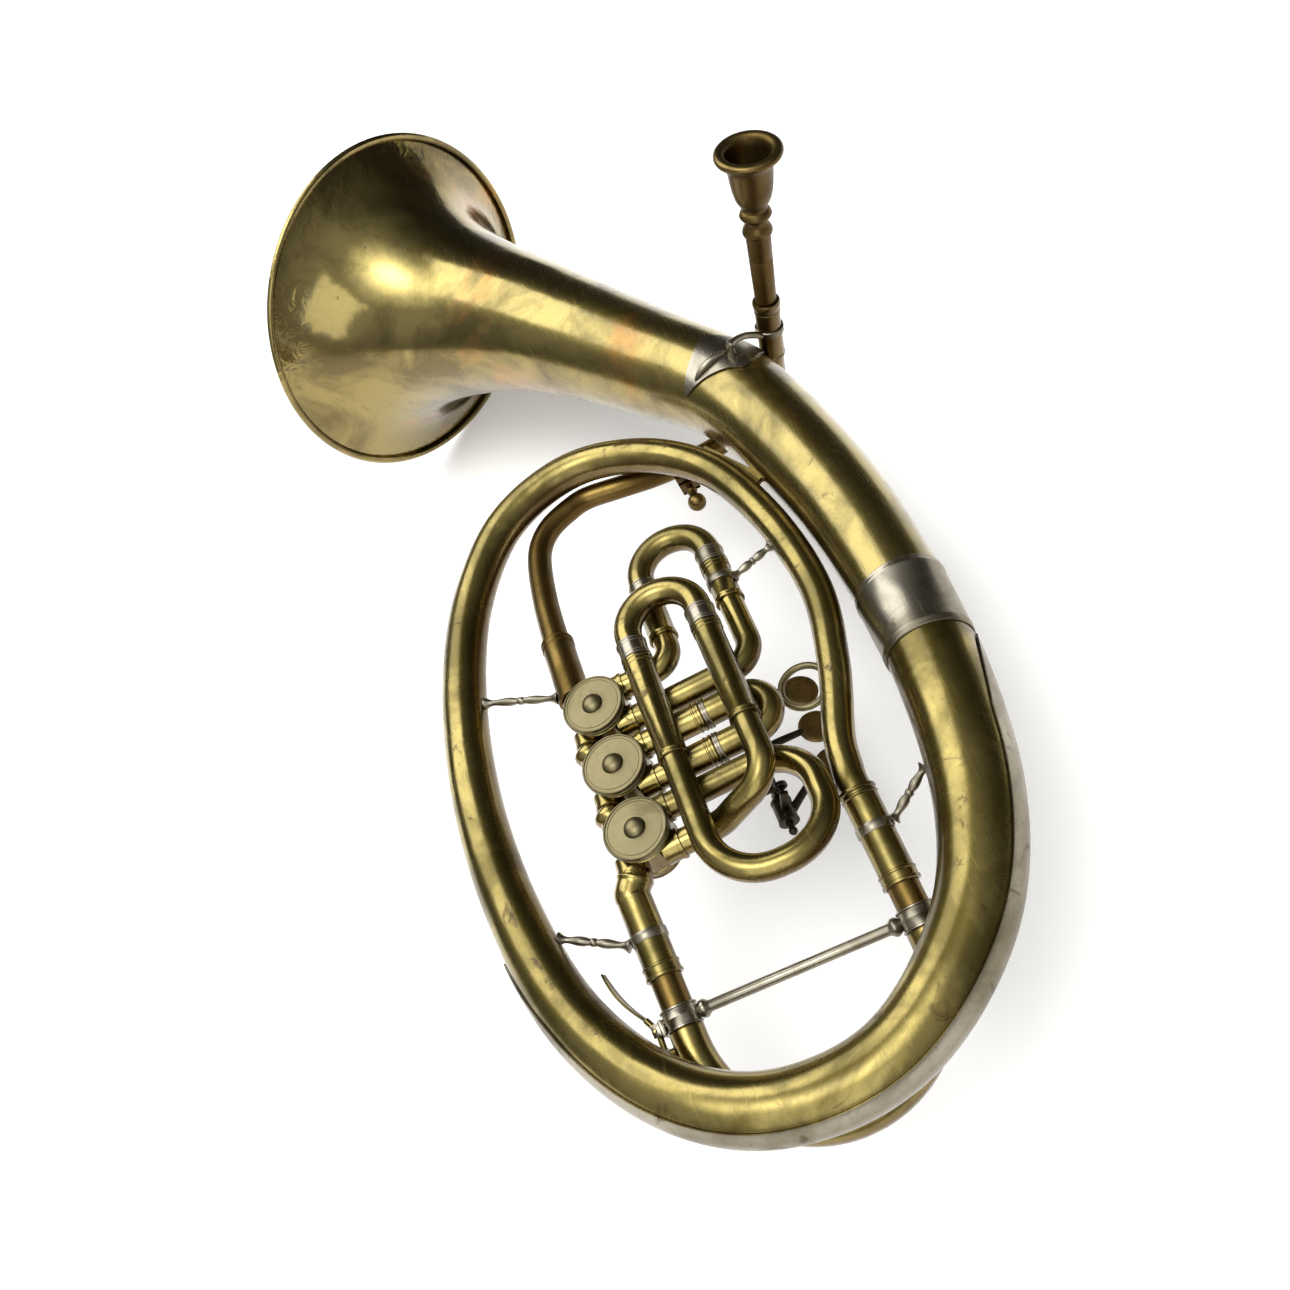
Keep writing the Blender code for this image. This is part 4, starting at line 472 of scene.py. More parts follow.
def finish_piece(name, bm, material, body, nodes=()):
    """Makes the piece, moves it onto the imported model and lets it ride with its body."""
    bmesh.ops.translate(bm, vec=SHIFT, verts=bm.verts)
    mesh = bpy.data.meshes.new(name)
    bm.to_mesh(mesh)
    bm.free()
    mesh.shade_smooth()
    mesh.set_sharp_from_angle(angle=SHARP_EDGE)
    mesh.materials.append(material)
    piece = bpy.data.objects.new(name, mesh)
    bpy.context.scene.collection.objects.link(piece)
    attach(piece, body)
    if nodes:
        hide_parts(*nodes)


# Metals

def linear(colour):
    """An sRGB hex value as linear red, green, blue and alpha."""
    parts = [int(colour[i:i + 2], 16) / 255 for i in (1, 3, 5)]
    return [c / 12.92 if c <= 0.04045 else ((c + 0.055) / 1.055) ** 2.4 for c in parts] + [1.0]


def fill(tree, socket, value):
    """Links another node's output to a socket, or sets a plain value on it."""
    if isinstance(value, bpy.types.NodeSocket):
        tree.links.new(value, socket)
    else:
        socket.default_value = value


def add(tree, kind, settings):
    """Adds a node: each setting is an input, by name or number, or one of its options."""
    node = tree.nodes.new(kind)
    for name, value in settings.items():
        if isinstance(name, int) or name in node.inputs:
            fill(tree, node.inputs[name], value)
        else:
            setattr(node, name, value)
    return node


def ramp(tree, source, stops):
    """A colour ramp: each stop is a position with a level of grey or a colour."""
    node = add(tree, "ShaderNodeValToRGB", {"Fac": source})
    elements = node.color_ramp.elements
    while len(elements) > 1:
        elements.remove(elements[-1])
    for i, (position, colour) in enumerate(stops):
        element = elements.new(position) if i else elements[0]
        element.position = position
        element.color = (colour,) * 3 + (1.0,) if isinstance(colour, float) else colour
    return node.outputs["Color"]


def noise(tree, place, scale, detail, roughness=0.5, distortion=0.0):
    """Noise with about this many blots to the metre."""
    return add(tree, "ShaderNodeTexNoise", {
        "Vector": place, "Scale": scale, "Detail": detail, "Roughness": roughness,
        "Distortion": distortion}).outputs["Fac"]


def calculated(tree, operation, *values):
    return add(tree, "ShaderNodeMath",
               {"operation": operation, **dict(enumerate(values))}).outputs["Value"]


def along_axis(tree, place, axis):
    """How far a place lies along an axis."""
    return add(tree, "ShaderNodeVectorMath",
               {"operation": "DOT_PRODUCT", 0: place, 1: axis}).outputs["Value"]


def mixed(tree, factor, first, second, blend="MIX"):
    """Two colours mixed, of which each is a node's output or a plain colour."""
    return add(tree, "ShaderNodeMix", {
        "data_type": "RGBA", "blend_type": blend, "Factor": factor, 6: first,
        7: second}).outputs[2]


def bumped(tree, height, strength, distance, normal=None):
    """The normal of a surface with a height laid on it."""
    settings = {"Height": height, "Strength": strength, "Distance": distance}
    if normal is not None:
        settings["Normal"] = normal
    return add(tree, "ShaderNodeBump", settings).outputs["Normal"]


def principled(name):
    """A new material, with its node tree and its shader."""
    material = bpy.data.materials.new(name)
    material.use_nodes = True
    tree = material.node_tree
    return material, tree, tree.nodes["Principled BSDF"]


# The argument after the dents sets how strong the painted shade on the sides and underside is
def metal(name, bright, film, stain, rough, film_amount, stain_amount, dents, side_shade=0.7,
          lacquer=0.0):
    """Old metal: bright where hands polish it, a film elsewhere, stains, scratches and dents."""
    material = bpy.data.materials.get(name)
    if material:
        return material
    material, tree, shader = principled(name)
    coordinates = tree.nodes.new("ShaderNodeTexCoord").outputs
    place = coordinates["Object"]

    # The film gathers in clouds 20 to 60 mm across
    clouds = noise(tree, place, 22.0, 7.0, 0.62, 0.6)
    film_mask = ramp(tree, clouds, [(0.62 - 0.35 * film_amount, 0.0),
                                    (0.72 - 0.2 * film_amount, 1.0)])
    aged = mixed(tree, film_mask, linear(bright), linear(film))

    # Stains a few millimetres to a centimetre wide, with ragged edges
    spots = noise(tree, place, 60.0, 9.0, 0.7, 1.2)
    spot_mask = ramp(tree, spots, [(0.70 - stain_amount, 0.0), (0.78 - stain_amount, 1.0)])
    stained = mixed(tree, calculated(tree, "MULTIPLY", spot_mask, 0.75), aged, linear(stain))

    # Painted shade: the sides and the underside are darkened towards the stain colour, by as much
    # as the given amount, with the clouds breaking up its edge
    facing = add(tree, "ShaderNodeSeparateXYZ", {0: coordinates["Normal"]}).outputs["Z"]
    facing_broken = calculated(tree, "MULTIPLY_ADD", clouds, -0.5, facing)
    side_shade_mask = ramp(tree, facing_broken, [(0.0, side_shade), (0.55, 0.0)])
    side_shaded = mixed(tree, side_shade_mask, stained, linear(stain))

    # Grain of the old lacquer, 1 to 3 mm across
    fine = noise(tree, place, 420.0, 6.0, 0.65)
    grain = ramp(tree, fine, [(0.3, 0.80), (0.7, 1.0)])
    fill(tree, shader.inputs["Base Color"], mixed(tree, 0.55, side_shaded, grain, "MULTIPLY"))
    shader.inputs["Metallic"].default_value = 1.0
    shader.inputs["Coat Weight"].default_value = lacquer
    shader.inputs["Coat Roughness"].default_value = 0.12

    # Rubbed scratches: noise drawn out along two directions
    masks = []
    for turn in (0.4, 1.9):
        laid = add(tree, "ShaderNodeMapping", {
            "Vector": place, "Rotation": (0.3, 0.2, turn), "Scale": (900.0, 60.0, 90.0)})
        lines = noise(tree, laid.outputs["Vector"], 1.0, 3.0)
        masks.append(ramp(tree, lines, [(0.60, 0.0), (0.72, 1.0)]))
    scratches = calculated(tree, "ADD", *masks)
    roughness = rough
    for mask, share in ((film_mask, 0.12), (spot_mask, 0.22), (scratches, 0.07)):
        roughness = calculated(tree, "MULTIPLY_ADD", mask, share, roughness)
    fill(tree, shader.inputs["Roughness"], roughness)

    # Shallow dents 15 to 40 mm wide, and on them the grain and the scratches
    wavy = bumped(tree, noise(tree, place, 38.0, 2.5, 0.45), dents, 0.0022)
    skin = calculated(tree, "MULTIPLY_ADD", scratches, -0.35, fine)
    fill(tree, shader.inputs["Normal"], bumped(tree, skin, 0.10, 0.0002, wavy))
    return material


def drawn_brass():
    """Drawn brass tube under worn lacquer: yellow on the ridges, olive in the clouds."""
    c = colours()
    return metal("drawn_brass_worn_lacquer", c.brass, c.tarnish, c.stain, rough=0.21,
                 film_amount=0.65, stain_amount=0.12, dents=0.35, lacquer=0.5)


def spun_brass():
    """Spun sheet brass of the bell: glossier than the tubes, planished near its rim."""
    material = bpy.data.materials.get("spun_brass_sheet")
    if material:
        return material
    c = colours()
    # The bell's painted shade on its sides and underside is lighter than the tubes'
    material = metal("spun_brass_sheet", c.brass, c.tarnish, c.stain, rough=0.12,
                     film_amount=0.5, stain_amount=0.08, dents=0.3, side_shade=0.4, lacquer=0.75)
    tree = material.node_tree
    inputs = tree.nodes["Principled BSDF"].inputs
    place = tree.nodes.new("ShaderNodeTexCoord").outputs["Object"]
    depth = along_axis(tree, place, BELL_AXIS)
    edge = BELL_AXIS.dot(OVAL.points[-1] + SHIFT)

    def risen(start, end, top):
        """Rises from 0 to the top between two distances behind the rim."""
        return add(tree, "ShaderNodeMapRange", {
            "Value": depth, "From Min": edge - start, "From Max": edge - end,
            "To Max": top}).outputs["Result"]

    def under(name):
        """What feeds one of the shader's inputs so far."""
        return inputs[name].links[0].from_socket

    # Planishing marks 5 to 12 mm across, in the outermost 12 mm of the flare
    marks = noise(tree, place, 110.0, 3.0, distortion=1.6)
    height = calculated(tree, "MULTIPLY", marks, risen(12 * MM, 7 * MM, 1.0))
    fill(tree, inputs["Normal"], bumped(tree, height, 0.3, 0.0010, under("Normal")))

    # The sheet is duller behind the flare, where it is held and rubbed
    dulled = calculated(tree, "ADD", risen(60 * MM, 190 * MM, 0.13), under("Roughness"))
    fill(tree, inputs["Roughness"], dulled)

    # Copper-coloured patches 20 to 40 mm wide, where the lacquer has burnt off
    patch = ramp(tree, noise(tree, place, 13.0, 6.0, 0.6, 0.4), [(0.60, 0.0), (0.68, 0.75)])
    fill(tree, inputs["Base Color"],
         mixed(tree, patch, under("Base Color"), linear("#A8783A")))
    return material


def handled_brass():
    """Bare drawn brass where hands have worn the lacquer off: browner and duller."""
    return metal("bare_brass_brown", "#88713F", "#6C572C", "#4E371C", rough=0.30,
                 film_amount=0.6, stain_amount=0.08, dents=0.0)


def nickel_silver():
    """Rolled nickel silver: warm grey, fine scratches and a dull film."""
    # The last number sets the painted shade on its sides and underside
    return metal("nickel_silver_rolled", colours().nickel, "#857E6C", "#5F5138", rough=0.25,
                 film_amount=0.55, stain_amount=0.1, dents=0.06, side_shade=0.55)


def cap_plate():
    """Worn pale plate on turned brass."""
    # The last number sets the painted shade on its sides and underside
    return metal("turned_brass_pale_plate", colours().cap, "#6C6245", "#4E3F25", rough=0.38,
                 film_amount=0.4, stain_amount=0.04, dents=0.0, side_shade=0.4)


def cast_brass():
    """Turned and cast brass fittings, with painted shade on their sides and undersides."""
    return metal("turned_brass_antique", "#877246", "#69562F", "#443119", rough=0.31,
                 film_amount=0.6, stain_amount=0.08, dents=0.0)


def action_steel():
    """Darkened steel of the rods and stop arms."""
    return metal("darkened_steel_rod", colours().steel, "#3A342B", "#2B2116", rough=0.36,
                 film_amount=0.5, stain_amount=0.12, dents=0.0)


def cork():
    """Brown cork of the stop bumpers."""
    material = bpy.data.materials.get("cork_bumper")
    if material:
        return material
    material, tree, shader = principled("cork_bumper")
    place = tree.nodes.new("ShaderNodeTexCoord").outputs["Object"]
    grains = add(tree, "ShaderNodeTexVoronoi",
                 {"Vector": place, "Scale": 1400.0}).outputs["Distance"]
    tone = ramp(tree, grains, [(0.0, linear("#4A3320")), (0.6, linear("#8A6A48"))])
    fill(tree, shader.inputs["Base Color"], tone)
    shader.inputs["Roughness"].default_value = 0.85
    fill(tree, shader.inputs["Normal"], bumped(tree, grains, 0.5, 0.0002))
    return material


# Pieces

class BuildOval(bpy.types.Operator):
    """Builds the oval's branches, the nickel band and the guard"""
    bl_idname = "horn.build_oval"
    bl_label = "Oval"

    def execute(self, context):
        brass, nickel = drawn_brass(), nickel_silver()
        joint = from_rim(BAND_TOP + BAND_LENGTH / 2)
        spans = {
            "upper_bow": (point_mark(S_TUBE_END), point_mark(UPPER_BOW_END)),
            "left_branch": (point_mark(UPPER_BOW_END), point_mark(LEFT_BRANCH_END)),
            "bottom_bow": (point_mark(LEFT_BRANCH_END), point_mark(BOTTOM_BOW_END)),
            "right_branch": (point_mark(BOTTOM_BOW_END), joint),
        }
        for node, (start, end) in spans.items():
            stations = [(OVAL.at(m), OVAL.direction(m), oval_radius(m))
                        for m in spaced(start, end, 4 * MM)]
            finish_piece(f"{node}_tube", tube(stations, sizes().sheet, sides=64), brass,
                         "horn", [node])
        self.band(nickel)
        self.guard(nickel)
        return {"FINISHED"}

    def band(self, nickel):
        """A plain sleeve with a raised line near each edge."""
        lines = [(0.0, 0.45), (0.012, 0.75), (0.05, 0.75), (0.07, 0.95), (0.10, 0.95),
                 (0.12, 0.7), (0.88, 0.7), (0.90, 0.95), (0.93, 0.95), (0.95, 0.75),
                 (0.988, 0.75), (1.0, 0.45)]
        outer, inner = [], []
        for share, lift in lines:
            mark = from_rim(BAND_TOP + BAND_LENGTH * (1 - share))
            place, along, radius = OVAL.at(mark), OVAL.direction(mark), oval_radius(mark)
            outer.append((place, along, radius + lift * MM))
            inner.append((place, along, radius + 0.1 * MM))
        finish_piece("bell_band_sleeve", swept(outer + inner[::-1], 96, True), nickel, "horn",
                     ["bell_band"])

    def guard(self, nickel):
        """A strip along the outer side, narrowing to a point at both ends."""
        top, length = from_rim(430 * MM), 336 * MM
        marks = spaced(top, top - length, 3.5 * MM)

        def spread(mark, across):
            share = (top - mark) / length
            ends = min(1.0, (share + 0.002) * 9, (1 - share + 0.002) * 9)
            return math.radians(38) * math.sqrt(max(ends, 0.02))

        finish_piece("guard_strip_sheet", wrapped(marks, spread, 0.25 * MM, 0.7 * MM), nickel,
                     "horn", ["guard_strip"])


class BuildBell(bpy.types.Operator):
    """Builds the bell with its rolled rim"""
    bl_idname = "horn.build_bell"
    bl_label = "Bell"

    def execute(self, context):
        rim_radius, bead = sizes().bell_radius, sizes().bead_radius
        joint = from_rim(BAND_TOP + BAND_LENGTH / 2)
        marks = spaced(joint, from_rim(60 * MM), 4 * MM)[:-1]
        marks += [from_rim(60 * MM * (1 - k / 30) ** 1.4) for k in range(29)]
        skin, bore = [], []
        for mark in marks:
            back = OVAL.length - mark
            share = max(0.0, 1 - back / (100 * MM))
            along = OVAL.direction(mark).lerp(BELL_AXIS, share).normalized()
            slope = (oval_radius(mark + 0.5 * MM) - oval_radius(mark - 0.5 * MM)) / MM
            wall = sizes().sheet * math.sqrt(1 + slope ** 2)
            reach = min(oval_radius(mark), rim_radius - 1.2 * bead)
            skin.append((OVAL.at(mark), along, reach))
            bore.append((OVAL.at(mark), along, reach - wall))
        centre = OVAL.points[-1] - BELL_AXIS * bead
        roll = []
        for k in range(17):
            turn = math.radians(-150 + 300 * k / 16)
            roll.append((centre + BELL_AXIS * bead * math.sin(turn), BELL_AXIS,
                         rim_radius - bead + bead * math.cos(turn)))
        finish_piece("bell_sheet", swept(skin + roll + bore[::-1], sizes().bell_sides, True),
                     spun_brass(), "horn", ["bell"])
        return {"FINISHED"}


class BuildTuningSlide(bpy.types.Operator):
    """Builds the S tube, the sleeves, the crook with its cross rod, and the water key"""
    bl_idname = "horn.build_tuning_slide"
    bl_label = "Tuning slide"

    def execute(self, context):
        brass, brown, nickel = drawn_brass(), handled_brass(), nickel_silver()
        entry = [on_leg(SLIDE_RIGHT_X, -0.3 * MM), on_leg(SLIDE_RIGHT_X, -4 * MM)]
        corners = [Vector(p).to_3d() for p in OVAL_LINE[:S_TUBE_END + 2]]
        curve = Line(smooth(entry + corners, OVAL_STEPS))
        end = curve.marks[OVAL_STEPS * (S_TUBE_END + 2)]
        grown = oval_radius(point_mark(S_TUBE_END)) - CONE_FOOT
        stations = [(curve.at(m), curve.direction(m), CONE_FOOT + grown * m / end)
                    for m in spaced(0.0, end, 3 * MM)]
        finish_piece("s_tube_tube", tube(stations, sizes().sheet, sides=56), brass, "horn",
                     ["s_tube"])
        for node, x, length in (("tuning_sleeve_left", SLIDE_LEFT_X, 33.0),
                                ("tuning_sleeve_right", SLIDE_RIGHT_X, 39.5)):
            self.sleeve(node, x, length, brass, x == SLIDE_RIGHT_X)
        self.crook(brown, brass)
        self.cross_rod(nickel)
        self.water_key(brass)
        return {"FINISHED"}

    def sleeve(self, node, x, length, brass, ringed):
        """A sleeve with rings at its lower end, and more of them at its top if it is ringed."""
        wide = 7.0
        top = [(0, 5.4), (0.1, wide)]
        if ringed:
            top = [(0, 5.4), (0.1, wide + 0.4), (0.5, wide + 0.6), (1.4, wide + 0.6),
                   (1.8, wide + 0.1), (2.6, wide + 0.1), (3.0, wide + 0.45),
                   (3.5, wide + 0.45), (3.9, wide)]
        profile = top + [
            (length - 5.4, wide), (length - 5.0, wide + 0.6), (length - 4.4, wide + 0.6),
            (length - 4.1, wide + 0.25), (length - 1.6, wide + 0.25),
            (length - 1.3, wide + 0.65), (length - 0.3, wide + 0.65), (length, wide + 0.3),
            (length, 6.45), (2.0, 6.45), (2.0, 4.8), (0, 4.8)]
        finish_piece(f"{node}_turned", turned(profile, on_leg(x, 0), SLIDE_DOWN, 56, True),
                     brass, "horn", [node])

    def crook(self, brown, brass):
        """Both legs in bare brass, and the bow between them."""
        middle = (SLIDE_LEFT_X + SLIDE_RIGHT_X) / 2
        reach = (SLIDE_RIGHT_X - SLIDE_LEFT_X) / 2
        drop = 58.4 * MM
        bow = []
        for k in range(61):
            turn = math.pi * k / 60
            spoke = Vector((-math.cos(turn), 0, 0)) + SLIDE_DOWN * math.sin(turn)
            along = Vector((math.sin(turn), 0, 0)) + SLIDE_DOWN * math.cos(turn)
            bow.append((on_leg(middle, drop) + spoke * reach, along, CROOK_RADIUS))
        left = on_leg(SLIDE_LEFT_X, 53.5 * MM)
        right = on_leg(SLIDE_RIGHT_X, 57.0 * MM)
        lip, rise = CROOK_RADIUS - 0.7 * MM, SLIDE_DOWN * 0.3 * MM
        start = [(left, SLIDE_DOWN, lip), (left + rise, SLIDE_DOWN, CROOK_RADIUS)]
        finish = [(right + rise, -SLIDE_DOWN, CROOK_RADIUS), (right, -SLIDE_DOWN, lip)]
        finish_piece("tuning_crook_bow", tube(start + bow + finish, 0.9 * MM, sides=56,
                                              side=SLIDE_FACE), brass,
                     "tuning_slide", ["tuning_crook"])
        legs = bmesh.new()
        for x, top, low in ((SLIDE_LEFT_X, 15 * MM, left), (SLIDE_RIGHT_X, 21.5 * MM, right)):
            run = [(on_leg(x, top), SLIDE_DOWN, LEG_RADIUS),
                   (low + SLIDE_DOWN * 0.2 * MM, SLIDE_DOWN, LEG_RADIUS)]
            legs = joined(tube(run, 0.8 * MM, sides=56), legs)
        foot = on_leg(SLIDE_LEFT_X, 60 * MM)
        nipple = [(6.4, 2.4), (8.6, 2.4), (8.8, 2.2), (8.8, 1.2), (6.4, 1.2)]
        legs = turned(nipple, foot, Vector((-1, 0, 0)), 32, True, legs)
        finish_piece("tuning_crook_legs", legs, brown, "tuning_slide")

    def cross_rod(self, nickel):
        """The rod, its sockets, and a ringed clasp round each leg."""
        bm = bmesh.new()
        ends = []
        for x, drop in ((SLIDE_LEFT_X, 49 * MM), (SLIDE_RIGHT_X, 52.5 * MM)):
            clasp = [(-4.2, 6.3), (-4.2, 7.0), (-3.9, 7.5), (-3.4, 7.5), (-3.1, 7.0),
                     (-1.6, 7.2), (0, 7.9), (1.6, 7.2), (3.1, 7.0), (3.4, 7.5), (3.9, 7.5),
                     (4.2, 7.0), (4.2, 6.3)]
            bm = turned(clasp, on_leg(x, drop), SLIDE_DOWN, 56, True, bm)
            ends.append(on_leg(x, drop))
        along = ends[1] - ends[0]
        bar = [(6.6, 2.2), (8.4, 3.4), (9.4, 3.6), (10.2, 3.4), (11.2, 2.5), (12.0, 2.2)]
        bm = turned(mirrored(bar, along.length / MM), ends[0], along, 32, bm=bm)
        pivot = self.pivot()
        turn = Matrix.Rotation(SLIDE_FALL, 3, "X")
        bm = block(pivot + Vector((2.6 * MM, 0, 0)), Vector((1.6, 6.4, 8.0)) * MM, turn, bm=bm)
        for way in (-1, 1):
            ear = pivot + Vector((1.2 * MM, 0, 0)) + SLIDE_FACE * way * 3.2 * MM
            bm = block(ear, Vector((5.2, 5.0, 1.2)) * MM, turn, bm=bm)
        finish_piece("tuning_cross_rod", bm, nickel, "tuning_slide", ["tuning_cross_brace"])

    def pivot(self):
        """Where the water key is hinged."""
        return on_leg(SLIDE_LEFT_X, 50 * MM) + Vector((-10.4 * MM, 0, 0))

    def water_key(self, brass):
        """Barrel, pad cup on its tail, and a long leaf-shaped blade."""
        pivot = self.pivot()
        bm = rod(pivot - SLIDE_FACE * 2.4 * MM, pivot + SLIDE_FACE * 2.4 * MM, 2.0 * MM, 32)
        bm = rod(pivot - SLIDE_FACE * 4.4 * MM, pivot + SLIDE_FACE * 4.4 * MM, 0.7 * MM, 16, bm)
        pad = on_leg(SLIDE_LEFT_X, 60 * MM) - Vector((9.1 * MM, 0, 0))
        cup = [(0, 3.3), (0.3, 3.6), (2.2, 3.6), (2.7, 3.3), (3.2, 2.4), (3.5, 1.2)]
        bm = turned(cup, pad, Vector((-1, 0, 0)), 32, bm=bm)
        bm = rod(pivot, pad - Vector((1.6 * MM, 0, 0)), 1.3 * MM, 16, bm)
        knee = pivot + Vector((-3 * MM, 0, 0)) - SLIDE_DOWN * 6 * MM
        tip = pivot + Vector((-12 * MM, 0, 0)) - SLIDE_DOWN * 28 * MM
        bm = rod(pivot, knee, 1.3 * MM, 16, bm)
        leaf = bmesh.new()
        bmesh.ops.create_grid(leaf, x_segments=20, y_segments=6, size=0.5)
        run = tip - knee
        lift = SLIDE_FACE.cross(run).normalized()
        for vert in leaf.verts:
            share = vert.co.x + 0.5
            width = 3.6 * MM * (math.sin(math.pi * (0.12 + 0.80 * share)) ** 0.7)
            bow = 1.6 * MM * math.sin(math.pi * share)
            across = vert.co.y * 2
            cupped = 0.5 * MM * across ** 2
            vert.co = knee + run * share + SLIDE_FACE * across * width + lift * (bow - cupped)
        bmesh.ops.recalc_face_normals(leaf, faces=leaf.faces)
        bmesh.ops.solidify(leaf, geom=leaf.faces, thickness=0.9 * MM)
        bmesh.ops.recalc_face_normals(leaf, faces=leaf.faces)
        finish_piece("water_key_lever", joined(leaf, bm), brass, "water_key", ["water_key"])


class BuildValves(bpy.types.Operator):
    """Builds the valve casings, rotors, caps, back plates, stop arms and knuckles"""
    bl_idname = "horn.build_valves"
    bl_label = "Valves"

    def execute(self, context):
        for number in range(3):
            self.casing(number)
            self.rotor(number)
            self.cap(number)
            self.back_plate(number)
            self.stop_arm(number)
        for number in range(2):
            self.knuckle(number)
        self.outlet()
        return {"FINISHED"}

    def casing(self, number):
        """A drum with a raised line at either end, and its four stubs."""
        centre = valve_centre(number)
        wall = [(-9.5, 12.0), (-9.2, 12.5), (-7.0, 12.5), (-6.7, 12.8), (-6.2, 12.8),
                (-5.9, 12.5), (5.0, 12.5), (5.3, 12.8), (5.8, 12.8), (6.1, 12.5), (7.2, 12.5),
                (7.5, 12.1), (7.5, 10.5), (-9.5, 10.5)]
        bm = turned(wall, centre, UP, 80, True)
        root = 5.8
        for way in (-1, 1):
            for foot, along, end in (
                    (Vector((root * MM, way * PORT, 0)), Vector((1, 0, 0)), 14.0),
                    (Vector((-PORT, way * root * MM, 0)), Vector((0, way, 0)),
                     STUB_REACH / MM)):
                reach = end - root
                lip = [(0, 6.0), (reach - 1.8, 6.0), (reach - 1.6, 6.4), (reach - 0.2, 6.4),
                       (reach, 6.1), (reach, 4.8), (0, 4.8)]
                bm = turned(lip, centre + foot, along, 40, True, bm)
        finish_piece(f"valve_casing_{number + 1}_wall", bm, drawn_brass(), "horn",
                     [f"valve_casing_{number + 1}"])

    def rotor(self, number):
        """A plain plug, of which only the spindle's end shows."""
        centre = valve_centre(number)
        profile = [(-15.6, 1.4), (-15.4, 2.0), (-9.0, 2.0), (-9.0, 10.0), (6.9, 10.0),
                   (7.0, 9.8)]
        bm = turned(profile, centre, UP, 64)
        finish_piece(f"rotor_{number + 1}_plug", bm, cast_brass(), f"rotor_{number + 1}",
                     [f"rotor_{number + 1}"])

    def cap(self, number):
        """A screwed cap: milled edge, sunk face with a turned line, and a domed button."""
        rim = sizes().cap_radius / MM
        profile = [(7.8, rim - 1.2), (8.0, rim - 0.5), (8.3, rim), (8.6, rim),
                   (8.75, rim - 0.25), (8.9, rim), (9.2, rim), (9.35, rim - 0.25), (9.5, rim),
                   (10.5, rim), (10.9, rim - 0.15), (11.15, rim - 0.4), (11.2, rim - 0.65),
                   (11.15, rim - 0.85), (10.95, rim - 1.0), (10.75, rim - 1.1),
                   (10.72, rim - 1.9), (10.5, rim - 2.0), (10.5, rim - 2.15),
                   (10.72, rim - 2.25), (10.78, 8.0), (10.82, 5.2), (10.9, 4.6), (11.0, 4.5),
                   (11.2, 4.45)]
        for k in range(1, 9):
            turn = math.radians(11 * k)
            profile.append((11.2 + 2.4 * math.sin(turn), 4.4 * math.cos(turn)))
        bm = turned(profile, valve_centre(number), UP, 96)
        finish_piece(f"valve_cap_{number + 1}_turned", bm, cap_plate(), "horn",
                     [f"valve_cap_{number + 1}"])

    def back_plate(self, number):
        """The bearing with three screws, and the two corks that stop the arm."""
        centre = valve_centre(number)
        plate = [(-12.3, 2.35), (-12.3, 10.6), (-12.1, 11.2), (-11.2, 12.2), (-11.0, 12.5),
                 (-9.9, 12.5), (-9.8, 12.3), (-9.8, 2.35)]
        bm = turned(plate, centre, UP, 72, True)
        bumpers = bmesh.new()
        for degrees in (203.5, 336.5):
            turn = math.radians(degrees)
            foot = centre + Vector((math.cos(turn), math.sin(turn), 0)) * 8.2 * MM
            bumpers = rod(foot - UP * 11.9 * MM, foot - UP * 14.6 * MM, 1.4 * MM, 24, bumpers)
        for degrees in (90, 250, 290):
            turn = math.radians(degrees)
            foot = centre + Vector((math.cos(turn), math.sin(turn), 0)) * 9.0 * MM
            screw = [(-12.3, 1.6), (-12.7, 1.6), (-13.0, 1.3), (-13.05, 0.5)]
            bm = turned(screw, foot, UP, 20, bm=bm)
        finish_piece(f"back_bearing_{number + 1}_plate", bm, cast_brass(), "horn",
                     [f"back_bearing_{number + 1}"])
        finish_piece(f"stop_corks_{number + 1}", bumpers, cork(), "horn")

    def stop_arm(self, number):
        """Hub, crank arm with the link's pin, and the stop finger."""
        centre = valve_centre(number)
        hub = [(-15.1, 2.4), (-15.0, 3.4), (-14.7, 3.8), (-12.8, 3.8), (-12.6, 3.5)]
        bm = turned(hub, centre, UP, 40)
        turn = Matrix.Rotation(CRANK_TURN, 3, "Z")
        bm = block(centre + turn @ Vector((-1.25 * MM, 0, 0)) - UP * 13.9 * MM,
                   Vector((16.7, 2.6, 2.2)) * MM, turn, bm=bm)
        pin = centre + turn @ Vector((CRANK_REACH, 0, 0))
        bm = rod(pin - UP * 18.2 * MM, pin - UP * 14.0 * MM, 0.9 * MM, 16, bm)
        bm = rod(pin - UP * 18.3 * MM, pin - UP * 17.7 * MM, 1.5 * MM, 20, bm)
        finish_piece(f"stop_arm_{number + 1}_arm", bm, action_steel(), f"rotor_{number + 1}",
                     [f"stop_arm_{number + 1}"])

    def knuckle(self, number):
        """A short elbow that bulges outward between two casings."""
        upper, lower = valve_centre(number), valve_centre(number + 1)
        start = upper + Vector((-PORT, -STUB_REACH, 0))
        end = lower + Vector((-PORT, STUB_REACH, 0))
        stations = []
        for k in range(17):
            share = k / 16
            swell = math.sin(math.pi * share)
            place = start.lerp(end, share) - Vector((1.3 * MM * swell, 0, 0))
            stations.append((place, Vector((0, -1, 0)), (6.0 + 0.9 * swell) * MM))
        finish_piece(f"knuckle_{number + 1}_elbow", tube(stations, 1.1 * MM), drawn_brass(),
                     "horn", [f"knuckle_{number + 1}"])

